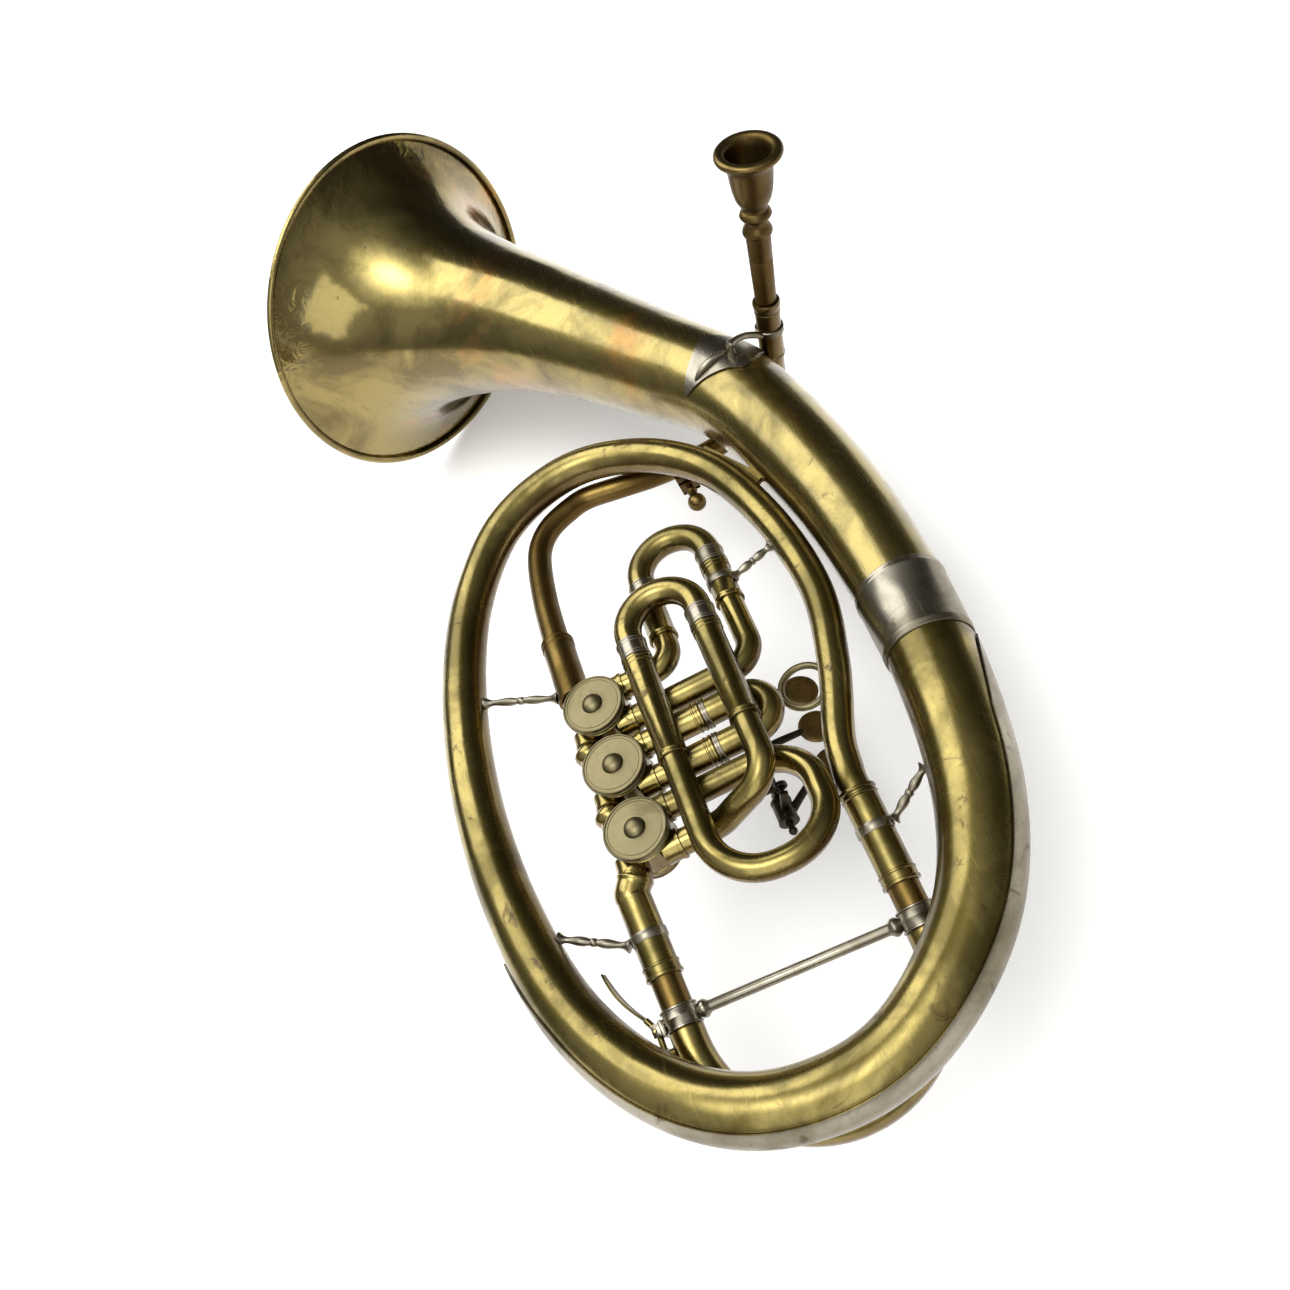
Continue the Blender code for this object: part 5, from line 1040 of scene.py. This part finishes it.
    def outlet(self):
        """A short bend from the third valve to the tuning slide, with two rings at its top."""
        start = valve_centre(2) + Vector((-PORT, -STUB_REACH, 0))
        end = on_leg(SLIDE_LEFT_X, -0.1 * MM)
        path = smooth([start, start - Vector((0, 1.5 * MM, 0)), end - SLIDE_DOWN * 1.5 * MM,
                       end], 16)
        radii = []
        for k in range(len(path)):
            share = k / (len(path) - 1)
            rings = sum(math.exp(-((share - place) / 0.05) ** 2) for place in (0.15, 0.38))
            radii.append((7.0 + 0.5 * rings) * MM)
        finish_piece("outlet_elbow_tube", tube(stations_along(path, radii), 1.1 * MM),
                     drawn_brass(), "horn", ["outlet_elbow"])


class BuildValveSlides(bpy.types.Operator):
    """Builds the fixed sleeves and the pull-out crooks of the three valve slides"""
    bl_idname = "horn.build_valve_slides"
    bl_label = "Valve slides"

    def execute(self, context):
        self.first()
        self.second()
        self.third()
        return {"FINISHED"}

    def port(self, number, way):
        """Where a slide's tube leaves its valve: upper if way is 1, lower if it is -1."""
        return valve_centre(number) + Vector((14.1 * MM, way * PORT, 0))

    def sleeve(self, node, route, length):
        """Bent tube, a lined joint ring, and the wider sleeve with a double ring at its end."""
        narrow = sizes().tube_radius
        wide, end = 6.2 * MM, route[-1]
        back = (route[-2] - end).normalized()
        joint = end + back * length
        stations = stations_along(route[:-1] + [joint], narrow)
        ahead = -back
        marks = [(0, wide), (0.3, wide + 0.35 * MM), (0.8, wide + 0.35 * MM), (1.1, wide),
                 (1.8, wide), (2.1, wide + 0.2 * MM), (2.5, wide + 0.2 * MM), (2.8, wide)]
        stations += [(joint + ahead * d * MM, ahead, r) for d, r in marks]
        rings = [(3.6, wide), (3.3, wide + 0.35 * MM), (2.8, wide + 0.35 * MM), (2.5, wide),
                 (1.5, wide), (1.2, wide + 0.4 * MM), (0.3, wide + 0.4 * MM), (0, wide)]
        stations += [(end + back * d * MM, ahead, r) for d, r in rings]
        inner = [(end, ahead, 5.75 * MM), (joint + ahead * 1.5 * MM, ahead, 5.75 * MM),
                 (joint + ahead * 1.0 * MM, ahead, TUBE_BORE)]
        inner += [(p, a, TUBE_BORE) for p, a, r in stations_along(route[:-1], narrow)[::-1]]
        finish_piece(f"{node}_tube", swept(stations + inner, 40, True), drawn_brass(), "horn",
                     [node])

    def crook(self, node, body, left, right, ahead, leg, bow_reach, ferrule):
        """Brown inner legs, nickel ferrules and a brass bow."""
        thick, lip = 6.0 * MM, 5.6 * MM
        middle, reach = (left + right) / 2, (right - left).length / 2
        across = (left - right).normalized()
        bow = []
        for k in range(49):
            turn = math.pi * k / 48
            spoke = across * math.cos(turn) + ahead * math.sin(turn)
            along = ahead * math.cos(turn) - across * math.sin(turn)
            bow.append((middle + ahead * bow_reach + spoke * reach, along, thick))
        start = [(left + ahead * 0.4 * MM, ahead, lip), (left + ahead * 0.8 * MM, ahead, thick)]
        end = [(right + ahead * 0.8 * MM, -ahead, thick),
               (right + ahead * 0.4 * MM, -ahead, lip)]
        finish_piece(f"{node}_bow", tube(start + bow + end, 1.0 * MM, sides=40, side=UP),
                     drawn_brass(), body, [node])
        legs, rings = bmesh.new(), bmesh.new()
        for edge in (left, right):
            run = [(edge - ahead * leg, ahead, 5.5 * MM),
                   (edge + ahead * 0.9 * MM, ahead, 5.5 * MM)]
            legs = joined(tube(run, 0.7 * MM, sides=40), legs)
            lines = [(0.3, 5.7), (0.35, 6.4), (0.6, 6.65), (1.1, 6.65), (1.35, 6.3)]
            if ferrule > 5:
                lines += [(2.0, 6.3), (2.2, 6.5), (2.6, 6.5), (2.8, 6.3)]
            rings = turned(mirrored(lines, ferrule), edge, ahead, 40, True, rings)
        finish_piece(f"{node}_legs", legs, handled_brass(), body)
        finish_piece(f"{node}_ferrules", rings, nickel_silver(), body)

    def first(self):
        y = FIRST_VALVE_Y
        left = bent([self.port(0, 1), Vector((8.7 * MM, y + PORT, 0)),
                     Vector((8.7 * MM, 21.5 * MM, 0))], [9 * MM])
        right = bent([self.port(0, -1), Vector((41.5 * MM, y - PORT, 0)),
                      Vector((41.5 * MM, 21.5 * MM, 0))], [11 * MM])
        self.sleeve("slide_1_left_sleeve", left, 24 * MM)
        self.sleeve("slide_1_right_sleeve", right, 22 * MM)
        self.crook("slide_1_crook", "valve_slide_1", left[-1], right[-1], Vector((0, 1, 0)),
                   20 * MM, 10 * MM, 9.0)

    def second(self):
        ends = []
        for way, node in ((1, "slide_2_upper_sleeve"), (-1, "slide_2_lower_sleeve")):
            start = self.port(1, way)
            end = Vector((12 * MM, start.y, 0))
            self.sleeve(node, [start, end], 22 * MM)
            ends.append(end)
        self.crook("slide_2_crook", "valve_slide_2", ends[0], ends[1], Vector((1, 0, 0)),
                   19 * MM, 17.7 * MM, 3.0)

    def third(self):
        z = 13.6 * MM
        y = valve_centre(2).y
        curl = bent([self.port(2, 1), Vector((43.8 * MM, y + PORT, 0)),
                     Vector((43.8 * MM, -129 * MM, z * 0.72)),
                     Vector((-3.2 * MM, -129 * MM, z)), Vector((-3.2 * MM, -17 * MM, z))],
                    [22 * MM, 22.5 * MM, 22.5 * MM], 16)
        dip = y - PORT
        turn = bent([self.port(2, -1), Vector((3 * MM, dip, 0)),
                     Vector((29 * MM, dip + 3 * MM, z)), Vector((29 * MM, -17 * MM, z))],
                    [15 * MM, 13 * MM])
        self.sleeve("slide_3_left_sleeve", curl, 52 * MM)
        self.sleeve("slide_3_right_sleeve", turn, 50 * MM)
        self.crook("slide_3_crook", "valve_slide_3", curl[-1], turn[-1], Vector((0, 1, 0)),
                   45 * MM, 12.5 * MM, 10.0)


class BuildLevers(bpy.types.Operator):
    """Builds the lever rack, the spring drums, the touches and the push rods"""
    bl_idname = "horn.build_levers"
    bl_label = "Levers"

    slant = math.radians(15)
    axle = Vector((24.0, 0, -30.89)) * MM
    lean = Vector((math.sin(slant), 0, math.cos(slant)))
    fall = Vector((math.cos(slant), 0, -math.sin(slant)))

    def execute(self, context):
        self.rack()
        for number in range(3):
            self.lever(number)
            self.link(number)
        return {"FINISHED"}

    def link_y(self, number):
        """The level along the horn at which a valve's link runs."""
        return valve_centre(number).y + CRANK_REACH * math.sin(CRANK_TURN)

    def rack(self):
        """The levers' axle with a ball at either end, on two turned posts."""
        top = Vector((self.axle.x, -13 * MM, self.axle.z))
        low = top - Vector((0, 83 * MM, 0))
        bm = rod(top, low, 1.5 * MM, 32)
        for end in (top, low):
            bm = ball(end, 1.9 * MM, 24, bm)
        for y in (valve_centre(0).y - PORT, valve_centre(2).y + PORT):
            foot = Vector((self.axle.x, y, -5.7 * MM))
            drop = 25.3
            post = [(0, 3.4), (0.6, 3.4), (1.2, 2.9), (2.4, 1.7), (5.0, 1.6), (5.4, 2.2),
                    (6.0, 2.2), (6.4, 1.6), (drop - 4.4, 1.6), (drop - 2.6, 2.6),
                    (drop, 2.9), (drop + 2.0, 2.3), (drop + 2.6, 1.2)]
            bm = turned(post, foot, -UP, 32, bm=bm)
        finish_piece("lever_rack_posts", bm, action_steel(), "horn", ["lever_rack"])

    def lever(self, number):
        """A spring drum with rims, the arm that drives the link, and a round touch."""
        y = self.link_y(number)
        axis = Vector((0, 1, 0))
        middle = Vector((self.axle.x, y - 2.6 * MM, self.axle.z))
        drum = [(-5.6, 1.8), (-5.6, 3.6), (-5.4, 4.5), (-4.6, 4.5), (-4.4, 4.1), (-4.0, 4.1),
                (-3.8, 4.3), (3.8, 4.3), (4.0, 4.1), (4.4, 4.1), (4.6, 4.5), (5.4, 4.5),
                (5.6, 3.6), (5.6, 1.8)]
        bm = turned(drum, middle, axis, 48, True)
        tip = Vector((self.axle.x, y, self.axle.z)) + self.lean * LEVER_REACH
        plate_y = y - 3.4 * MM
        top = Vector((tip.x, plate_y, tip.z))
        foot = Vector((self.axle.x, plate_y, self.axle.z))
        turn = Matrix.Rotation(self.slant, 3, "Y")
        bm = block(foot.lerp(top, 0.55), Vector((3.4, 1.8, 15.3)) * MM, turn, bm=bm)
        bm = rod(top, top + axis * 5.7 * MM, 0.9 * MM, 16, bm)
        bm = rod(top + axis * 5.1 * MM, top + axis * 5.7 * MM, 1.2 * MM, 16, bm)
        touch_y = self.link_y(1) + 20 * MM * (1 - number)
        pad = Vector((self.axle.x, touch_y, self.axle.z)) + self.fall * 27 * MM
        root = middle + self.fall * 3.5 * MM
        neck = pad - self.fall * 6.4 * MM
        stem = smooth([root, root.lerp(neck, 0.35) + self.lean * 0.6 * MM,
                       root.lerp(neck, 0.7) + self.lean * 0.3 * MM, neck], 6)
        radii = [1.9 * MM - 0.5 * MM * k / (len(stem) - 1) for k in range(len(stem))]
        bm = joined(swept(stations_along(stem, radii), 24), bm)
        finish_piece(f"lever_{number + 1}_arm", bm, action_steel(), f"lever_{number + 1}",
                     [f"lever_{number + 1}"])
        disc = [(-0.8, 5.0), (-0.8, 7.4), (-0.4, 8.0), (0.2, 8.0), (0.7, 7.5), (0.75, 6.6),
                (0.45, 5.0), (0.35, 2.0)]
        pearl = turned(disc, pad, -self.lean, 48)
        finish_piece(f"lever_{number + 1}_touch", pearl, cast_brass(), f"lever_{number + 1}")

    def link(self, number):
        """The push rod with an eye at each end and a lock nut by it."""
        crank = Vector((math.cos(CRANK_TURN), math.sin(CRANK_TURN), 0)) * CRANK_REACH
        pin = valve_centre(number) + crank + UP * LINK_LEVEL
        end = Vector((self.axle.x + LEVER_REACH * self.lean.x, pin.y + 0.6 * MM, LINK_LEVEL))
        along = (end - pin).normalized()
        bm = None
        for place, axis, hole, radius in ((pin, UP, 1.15, 2.4),
                                          (end, Vector((0, 1, 0)), 1.7, 2.8)):
            eye = [(-0.9, hole), (-0.9, radius - 0.2), (-0.7, radius), (0.7, radius),
                   (0.9, radius - 0.2), (0.9, hole)]
            bm = turned(eye, place, axis, 32, True, bm)
        bm = rod(pin + along * 2.0 * MM, end - along * 2.3 * MM, 1.0 * MM, 20, bm)
        nut = [(3.2, 1.05), (3.4, 1.25), (4.8, 1.25), (5.0, 1.05)]
        for place, way in ((pin, 1), (end, -1)):
            bm = turned(nut, place, along * way, 6, bm=bm)
        finish_piece(f"link_{number + 1}_rod", bm, action_steel(), f"link_{number + 1}",
                     [f"link_{number + 1}"])


class BuildLeadpipe(bpy.types.Operator):
    """Builds the leadpipe, its ferrule, the receiver, the flange and the mouthpiece"""
    bl_idname = "horn.build_leadpipe"
    bl_label = "Leadpipe and mouthpiece"

    def execute(self, context):
        inlet = valve_centre(0) + Vector((-PORT, STUB_REACH + 0.1 * MM, 0))
        lean = Vector((-0.6, 38.7, -2.5)) * MM
        line = Line(smooth([on_mouth_axis(-12.1 * MM)] + list(LEADPIPE_LINE) + [inlet + lean]))
        stations = []
        for mark in spaced(0.0, line.length, 3 * MM):
            share = mark / line.length
            stations.append((line.at(mark), line.direction(mark), (5.1 + 0.9 * share) * MM))
        stations[0] = (stations[0][0], -MOUTH_AXIS, stations[0][2])
        stations += [(inlet + lean * 0.5, -lean, 6.0 * MM), (inlet, -lean, 6.0 * MM)]
        finish_piece("leadpipe_tube", tube(stations, sizes().sheet, sides=40), handled_brass(),
                     "horn", ["leadpipe"])
        sleeve = [(0.8, 6.1), (0.8, 7.0), (1.1, 7.5), (2.0, 7.5), (2.3, 7.2), (32.8, 7.2),
                  (33.1, 7.55), (33.8, 7.55), (34.1, 7.2), (35.8, 7.2), (36.1, 7.55),
                  (36.8, 7.5), (37.0, 7.0), (37.0, 6.1)]
        finish_piece("leadpipe_ferrule_turned", turned(sleeve, inlet, lean, 48, True),
                     handled_brass(), "horn", ["leadpipe_ferrule"])
        self.receiver()
        self.mouthpiece()
        self.flange()
        return {"FINISHED"}

    def receiver(self):
        """A barrel with a collar low down and a lip at its top."""
        profile = [(-12.0, 3.9), (-12.0, 5.3), (-11.7, 5.5), (-1.6, 5.5), (-1.4, 6.1),
                   (-1.0, 6.3), (0.0, 6.3), (0.4, 6.0), (24.6, 5.9), (24.9, 6.2), (25.5, 6.2),
                   (25.8, 6.0), (27.4, 6.1), (28.2, 6.5), (29.0, 6.6), (30.4, 6.6),
                   (31.0, 6.2), (31.0, 4.5), (9.0, 4.5), (9.0, 3.9)]
        finish_piece("receiver_turned", turned(profile, MOUTH_FOOT, MOUTH_AXIS, 48, True),
                     drawn_brass(), "horn", ["receiver"])

    def mouthpiece(self):
        """Round rim, funnel cup, two beads on the neck and a tapered shank."""
        profile = [(13.0, 3.8), (31.2, 4.2), (31.5, 5.0), (40.0, 5.2), (55.0, 5.5),
                   (55.3, 5.4), (55.6, 5.5), (66.0, 5.7), (67.6, 5.8), (68.0, 6.2),
                   (68.5, 6.7), (69.6, 6.9), (71.4, 6.3), (72.8, 5.4), (74.0, 4.9),
                   (75.2, 4.9), (76.0, 5.6), (76.8, 6.7), (78.0, 7.3), (79.2, 7.0),
                   (80.2, 6.2), (80.8, 5.6), (82.0, 5.5), (82.4, 6.0), (83.2, 6.2),
                   (84.4, 7.0), (87.0, 8.2), (91.0, 9.1), (96.0, 9.7), (101.0, 10.1),
                   (104.0, 10.8), (105.4, 12.2), (106.3, 13.9), (107.0, 14.7),
                   (107.7, 15.0), (108.4, 15.0), (109.1, 14.7), (109.7, 14.1), (110.0, 13.2),
                   (110.0, 12.2), (109.8, 11.3), (109.2, 10.5), (107.9, 9.8), (105.0, 9.1),
                   (101.0, 8.0), (96.0, 6.1), (91.5, 3.8), (89.0, 2.3), (83.0, 2.2),
                   (60.0, 2.6), (13.0, 3.0)]
        finish_piece("mouthpiece_turned", turned(profile, MOUTH_FOOT, MOUTH_AXIS, 96, True),
                     cast_brass(), "mouthpiece", ["mouthpiece"])

    def flange(self):
        """A pointed plate with a leaf on the bell, and the arm that clasps the receiver."""
        middle, near, far = from_rim(248 * MM), 19 * MM, 11 * MM
        marks = spaced(middle - far, middle + near, 1.0 * MM)

        # Distance behind the rim in millimetres, and reach round the tube in degrees
        edge = ((229.0, 2), (231.5, 20), (235.0, 48), (239.0, 73), (243.0, 57), (247.0, 42),
                (253.4, 20), (259.0, 6))

        def spread(mark, across):
            """Half the plate's width in radians: a point hangs down on its lower side."""
            if across > 0:
                share = (mark - middle) / near if mark > middle else (middle - mark) / far
                return math.radians(50) * max(0.04, 1 - min(share, 1.0)) ** 0.85
            back = (OVAL.length - mark) / MM
            for (low, wide), (high, narrow) in zip(edge, edge[1:]):
                if back <= high:
                    share = max(0.0, (back - low) / (high - low))
                    return math.radians(wide + (narrow - wide) * share)
            return math.radians(2)

        plate = wrapped(marks, spread, 0.3 * MM, 0.8 * MM, 40, math.radians(18))
        leaf, widths = [], []
        for k in range(17):
            share = k / 16
            mark = from_rim((246.0 - 3.2 * share) * MM)
            width = 1.7 * MM * math.sin(math.pi * min(0.06 + 0.92 * share, 1.0)) ** 0.6
            leaf.append(oval_surface(mark, math.radians(14 - 46 * share),
                                     0.9 * MM + 0.7 * width))
            widths.append(max(width, 0.3 * MM))
        plate = joined(swept(stations_along(leaf, widths), 20), plate)
        root = oval_surface(middle, math.radians(18), 0.9 * MM)
        rise = oval_surface(middle, math.radians(18), 6.0 * MM)
        hold = on_mouth_axis(14.5 * MM)
        toward = root - hold
        toward = (toward - MOUTH_AXIS * toward.dot(MOUTH_AXIS)).normalized()
        arm_end = hold + toward * 6.2 * MM
        path = smooth([root, rise, rise.lerp(arm_end, 0.5) + UP * 2.4 * MM, arm_end], 12)
        radii = []
        for k in range(len(path)):
            share = k / (len(path) - 1)
            knot = 0.7 * math.exp(-((share - 0.30) / 0.05) ** 2)
            radii.append((2.1 - 0.6 * min(share * 3, 1.0) + knot + 0.2 * share) * MM)
        plate = joined(swept(stations_along(path, radii), 24), plate)
        clasp = [(-1.7, 6.05), (-1.7, 6.5), (-1.4, 6.9), (1.4, 6.9), (1.7, 6.5), (1.7, 6.05)]
        plate = turned(clasp, hold, MOUTH_AXIS, 48, True, plate)
        finish_piece("bell_flange_plate", plate, nickel_silver(), "horn", ["bell_flange"])


class BuildFittings(bpy.types.Operator):
    """Builds the braces, the thumb ring, the lyre holder and the rib under the bell"""
    bl_idname = "horn.build_fittings"
    bl_label = "Braces and fittings"

    def execute(self, context):
        self.braces()
        self.thumb_ring()
        self.lyre()
        self.rib()
        return {"FINISHED"}

    def brace(self, node, start, end):
        """A baluster: spread feet, slender necks, two long bellies and a ring between them."""
        length = (end - start).length / MM
        profile = []
        for share, radius in ((0.0, 2.9), (0.02, 2.8), (0.05, 2.1), (0.09, 1.5), (0.13, 1.3),
                              (0.18, 1.4), (0.25, 1.75), (0.31, 1.95), (0.37, 1.9),
                              (0.43, 1.5), (0.455, 1.35), (0.47, 1.7), (0.50, 1.8)):
            profile.append((length * share, radius))
        profile += [(length - d, r) for d, r in profile[-2::-1]]
        bm = turned(profile, start, end - start, 32)
        finish_piece(f"{node}_turned", bm, nickel_silver(), "horn", [node])

    def inner(self, place):
        """The nearest spot on the inner side of the oval's tube."""
        mark = nearest_mark(place)
        inward = UP.cross(OVAL.direction(mark))
        return OVAL.at(mark) + inward * (oval_radius(mark) - 0.3 * MM)

    def braces(self):
        inlet = valve_centre(0) + Vector((-PORT, STUB_REACH + 0.3 * MM, 0))
        self.brace("brace_valve", self.inner(Vector((-0.0865, 0.0150, 0))),
                   inlet + Vector((-7.0, 6.5, 0)) * MM)
        self.brace("brace_left", self.inner(Vector((-0.0850, -0.1140, 0))),
                   on_leg(SLIDE_LEFT_X - 8.2 * MM, BRACE_DOWN))
        self.brace("brace_right", on_leg(SLIDE_RIGHT_X + 7.5 * MM, BRACE_DOWN),
                   self.inner(Vector((0.0975, -0.1150, 0))))
        self.brace("brace_slide", Vector((47.5, 11.5, 0)) * MM,
                   self.inner(Vector((0.0762, 0.0200, 0))))
        straps = bmesh.new()
        for foot, along, radius in ((Vector((41.5, 11.5, 0)) * MM, Vector((0, 1, 0)), 6.15),
                                    (on_leg(SLIDE_LEFT_X, BRACE_DOWN), SLIDE_DOWN, 6.95),
                                    (on_leg(SLIDE_RIGHT_X, BRACE_DOWN), SLIDE_DOWN, 6.95)):
            strap = [(-2.0, radius), (-1.9, radius + 0.4), (-1.5, radius + 0.6),
                     (1.5, radius + 0.6), (1.9, radius + 0.4), (2.0, radius)]
            straps = turned(strap, foot, along, 48, True, straps)
        finish_piece("brace_straps", straps, nickel_silver(), "horn")

    def thumb_ring(self):
        """A hoop on a stem that spreads where it meets the S-shaped tube."""
        centre, ring_radius = Vector((54.0, -50.0, -9.5)) * MM, 10.0 * MM
        bm = hoop(centre, ring_radius, 1.5 * MM)
        mark = nearest_mark(Vector((0.0700, centre.y, 0)))
        start = centre + Vector((ring_radius, 0, 0))
        spot = OVAL.at(mark)
        toward = (spot - start).normalized()
        end = spot - toward * (oval_radius(mark) - 0.4 * MM)
        length = (end - start).length / MM
        stem = [(0, 1.5), (length * 0.4, 1.2), (length * 0.75, 1.6), (length, 2.8)]
        bm = turned(stem, start, toward, 24, bm=bm)
        finish_piece("thumb_ring_hoop", bm, cap_plate(), "horn", ["thumb_ring"])

    def lyre(self):
        """A square socket of five blocks, and its screw with a round knob."""
        centre = Vector((45.5, 90.0, -14.2)) * MM
        bm = bmesh.new()
        for way in (-1, 1):
            bm = block(centre + Vector((0, way * 3.3, 0)) * MM, Vector((9.0, 1.4, 9.2)) * MM,
                       bm=bm)
            bm = block(centre + Vector((0, 0, way * 3.6)) * MM, Vector((9.0, 8.0, 2.0)) * MM,
                       bm=bm)
        bm = block(centre + Vector((0, 0, 5.6)) * MM, Vector((9.0, 8.0, 2.6)) * MM, bm=bm)
        finish_piece("lyre_holder_block", bm, cast_brass(), "horn", ["lyre_holder"])
        tip = centre - Vector((0, 2.8, 0)) * MM
        knob = [(0, 1.2), (0.4, 1.6), (4.6, 1.6), (4.8, 2.4), (5.4, 2.6), (6.0, 2.4),
                (6.3, 1.9), (7.4, 1.8), (8.4, 2.2), (9.0, 2.6)]
        for k in range(10):
            turn = math.radians(-50 + 14 * k)
            knob.append((13.0 + 4.3 * math.sin(turn), 4.4 * math.cos(turn)))
        bm = turned(knob, tip, Vector((0, -1, 0)), 40)
        finish_piece("lyre_screw_knob", bm, cast_brass(), "lyre_screw", ["lyre_screw"])

    def rib(self):
        """The saddle between the loop of the oval and the bell's branch."""
        run = Vector((18.0, -34.0, 0)) * MM
        centre = Vector((65.5, 70.0, 0)) * MM
        turn = Matrix.Rotation(math.atan2(run.y, run.x), 3, "Z")
        bm = block(centre, Vector((run.length, 10 * MM, 3 * MM)), turn)
        finish_piece("loop_saddle_rib", bm, drawn_brass(), "horn", ["loop_saddle"])


class BuildStage(bpy.types.Operator):
    """Sets the floor, the soft lights and the camera of the photograph"""
    bl_idname = "horn.build_stage"
    bl_label = "Stage"

    def execute(self, context):
        self.floor()
        self.lights()
        self.camera()
        return {"FINISHED"}

    def floor(self):
        bm = bmesh.new()
        bmesh.ops.create_grid(bm, x_segments=1, y_segments=1, size=6)
        mesh = bpy.data.meshes.new("floor")
        bm.to_mesh(mesh)
        bm.free()
        material, tree, shader = principled("matt_white_paper")
        shader.inputs["Base Color"].default_value = linear("#F4F4F3")
        shader.inputs["Roughness"].default_value = 0.9
        # It glows a little for the camera and in reflections, and not as a light
        glow = add(tree, "ShaderNodeEmission", {"Color": (1, 1, 1, 1), "Strength": 0.27})
        lit = add(tree, "ShaderNodeAddShader", {0: shader.outputs[0], 1: glow.outputs[0]})
        rays = tree.nodes.new("ShaderNodeLightPath").outputs
        direct = calculated(tree, "MAXIMUM", rays["Is Camera Ray"], rays["Is Glossy Ray"])
        seen = add(tree, "ShaderNodeMixShader",
                   {0: direct, 1: shader.outputs[0], 2: lit.outputs[0]})
        fill(tree, tree.nodes["Material Output"].inputs["Surface"], seen.outputs[0])
        mesh.materials.append(material)
        floor = bpy.data.objects.new("floor", mesh)
        bpy.context.scene.collection.objects.link(floor)

    def lights(self):
        world = bpy.data.worlds.new("studio")
        world.use_nodes = True
        bpy.context.scene.world = world
        tree = world.node_tree
        # A studio that is brightest overhead and towards its front, and dim at the back
        way = tree.nodes.new("ShaderNodeTexCoord").outputs["Generated"]
        back = tree.nodes["Background"]
        fill(tree, back.inputs["Color"],
             ramp(tree, along_axis(tree, way, (-0.24, -0.56, 0.79)),
                  [(0.0, linear("#4A4642")), (0.35, linear("#8E8C88")),
                   (0.8, linear("#F0F0EE"))]))
        # Diffused lamps overhead: bright in the middle, fading out by about 30 degrees
        overhead = Vector((-0.25, -0.22, 1.5))
        glow = ramp(tree, along_axis(tree, way, overhead.normalized()),
                    [(0.86, 0.0), (0.93, 0.12), (0.975, 0.4), (1.0, 1.0)])
        fill(tree, back.inputs["Strength"], calculated(tree, "MULTIPLY_ADD", glow, 6.5, 0.55))
        self.softbox("overhead", overhead, 1.25, 12).visible_glossy = False
        self.softbox("key", Vector((-0.65, 0.95, 1.3)), 1.3, 14)
        self.softbox("front", Vector((-0.35, -1.45, 1.0)), 1.2, 5)

    def softbox(self, name, place, size, power):
        lamp = bpy.data.lights.new(name, "AREA")
        lamp.shape = "SQUARE"
        lamp.size = size
        lamp.energy = power
        item = bpy.data.objects.new(name, lamp)
        item.location = place
        item.rotation_euler = (-place).to_track_quat("-Z", "Y").to_euler()
        bpy.context.scene.collection.objects.link(item)
        return item

    def camera(self):
        camera = bpy.data.cameras.new("camera")
        camera.lens = CAMERA_LENS
        camera.sensor_width = 36
        camera.sensor_fit = "HORIZONTAL"
        item = bpy.data.objects.new("camera", camera)
        turn = Matrix((CAMERA_RIGHT, CAMERA_UP, CAMERA_BACK)).transposed().to_4x4()
        item.matrix_world = Matrix.Translation(CAMERA_PLACE + SHIFT) @ turn
        bpy.context.scene.collection.objects.link(item)
        bpy.context.scene.camera = item


class HornPanel(bpy.types.Panel):
    """Lists the steps that build the horn"""
    bl_idname = "VIEW3D_PT_horn"
    bl_label = "Alto horn"
    bl_space_type = "VIEW_3D"
    bl_region_type = "UI"
    bl_category = "Horn"

    def draw(self, context):
        for settings in (context.scene.horn_sizes, context.scene.horn_colours):
            for name in settings.__annotations__:
                self.layout.prop(settings, name)
        for operator in OPERATORS:
            self.layout.operator(operator.bl_idname)


OPERATORS = (BuildStage, BuildOval, BuildBell, BuildTuningSlide, BuildValves,
             BuildValveSlides, BuildLevers, BuildLeadpipe, BuildFittings)
CLASSES = (HornSizes, HornColours) + OPERATORS + (HornPanel,)


def register():
    for kind in CLASSES:
        bpy.utils.register_class(kind)
    bpy.types.Scene.horn_sizes = bpy.props.PointerProperty(type=HornSizes)
    bpy.types.Scene.horn_colours = bpy.props.PointerProperty(type=HornColours)


def unregister():
    del bpy.types.Scene.horn_sizes
    del bpy.types.Scene.horn_colours
    for kind in reversed(CLASSES):
        bpy.utils.unregister_class(kind)


def main():
    register()
    bpy.context.scene.view_settings.view_transform = "Standard"
    bpy.ops.horn.build_stage()
    bpy.ops.horn.build_oval()
    bpy.ops.horn.build_bell()
    bpy.ops.horn.build_tuning_slide()
    bpy.ops.horn.build_valves()
    bpy.ops.horn.build_valve_slides()
    bpy.ops.horn.build_levers()
    bpy.ops.horn.build_leadpipe()
    bpy.ops.horn.build_fittings()


if __name__ == "__main__":
    main()
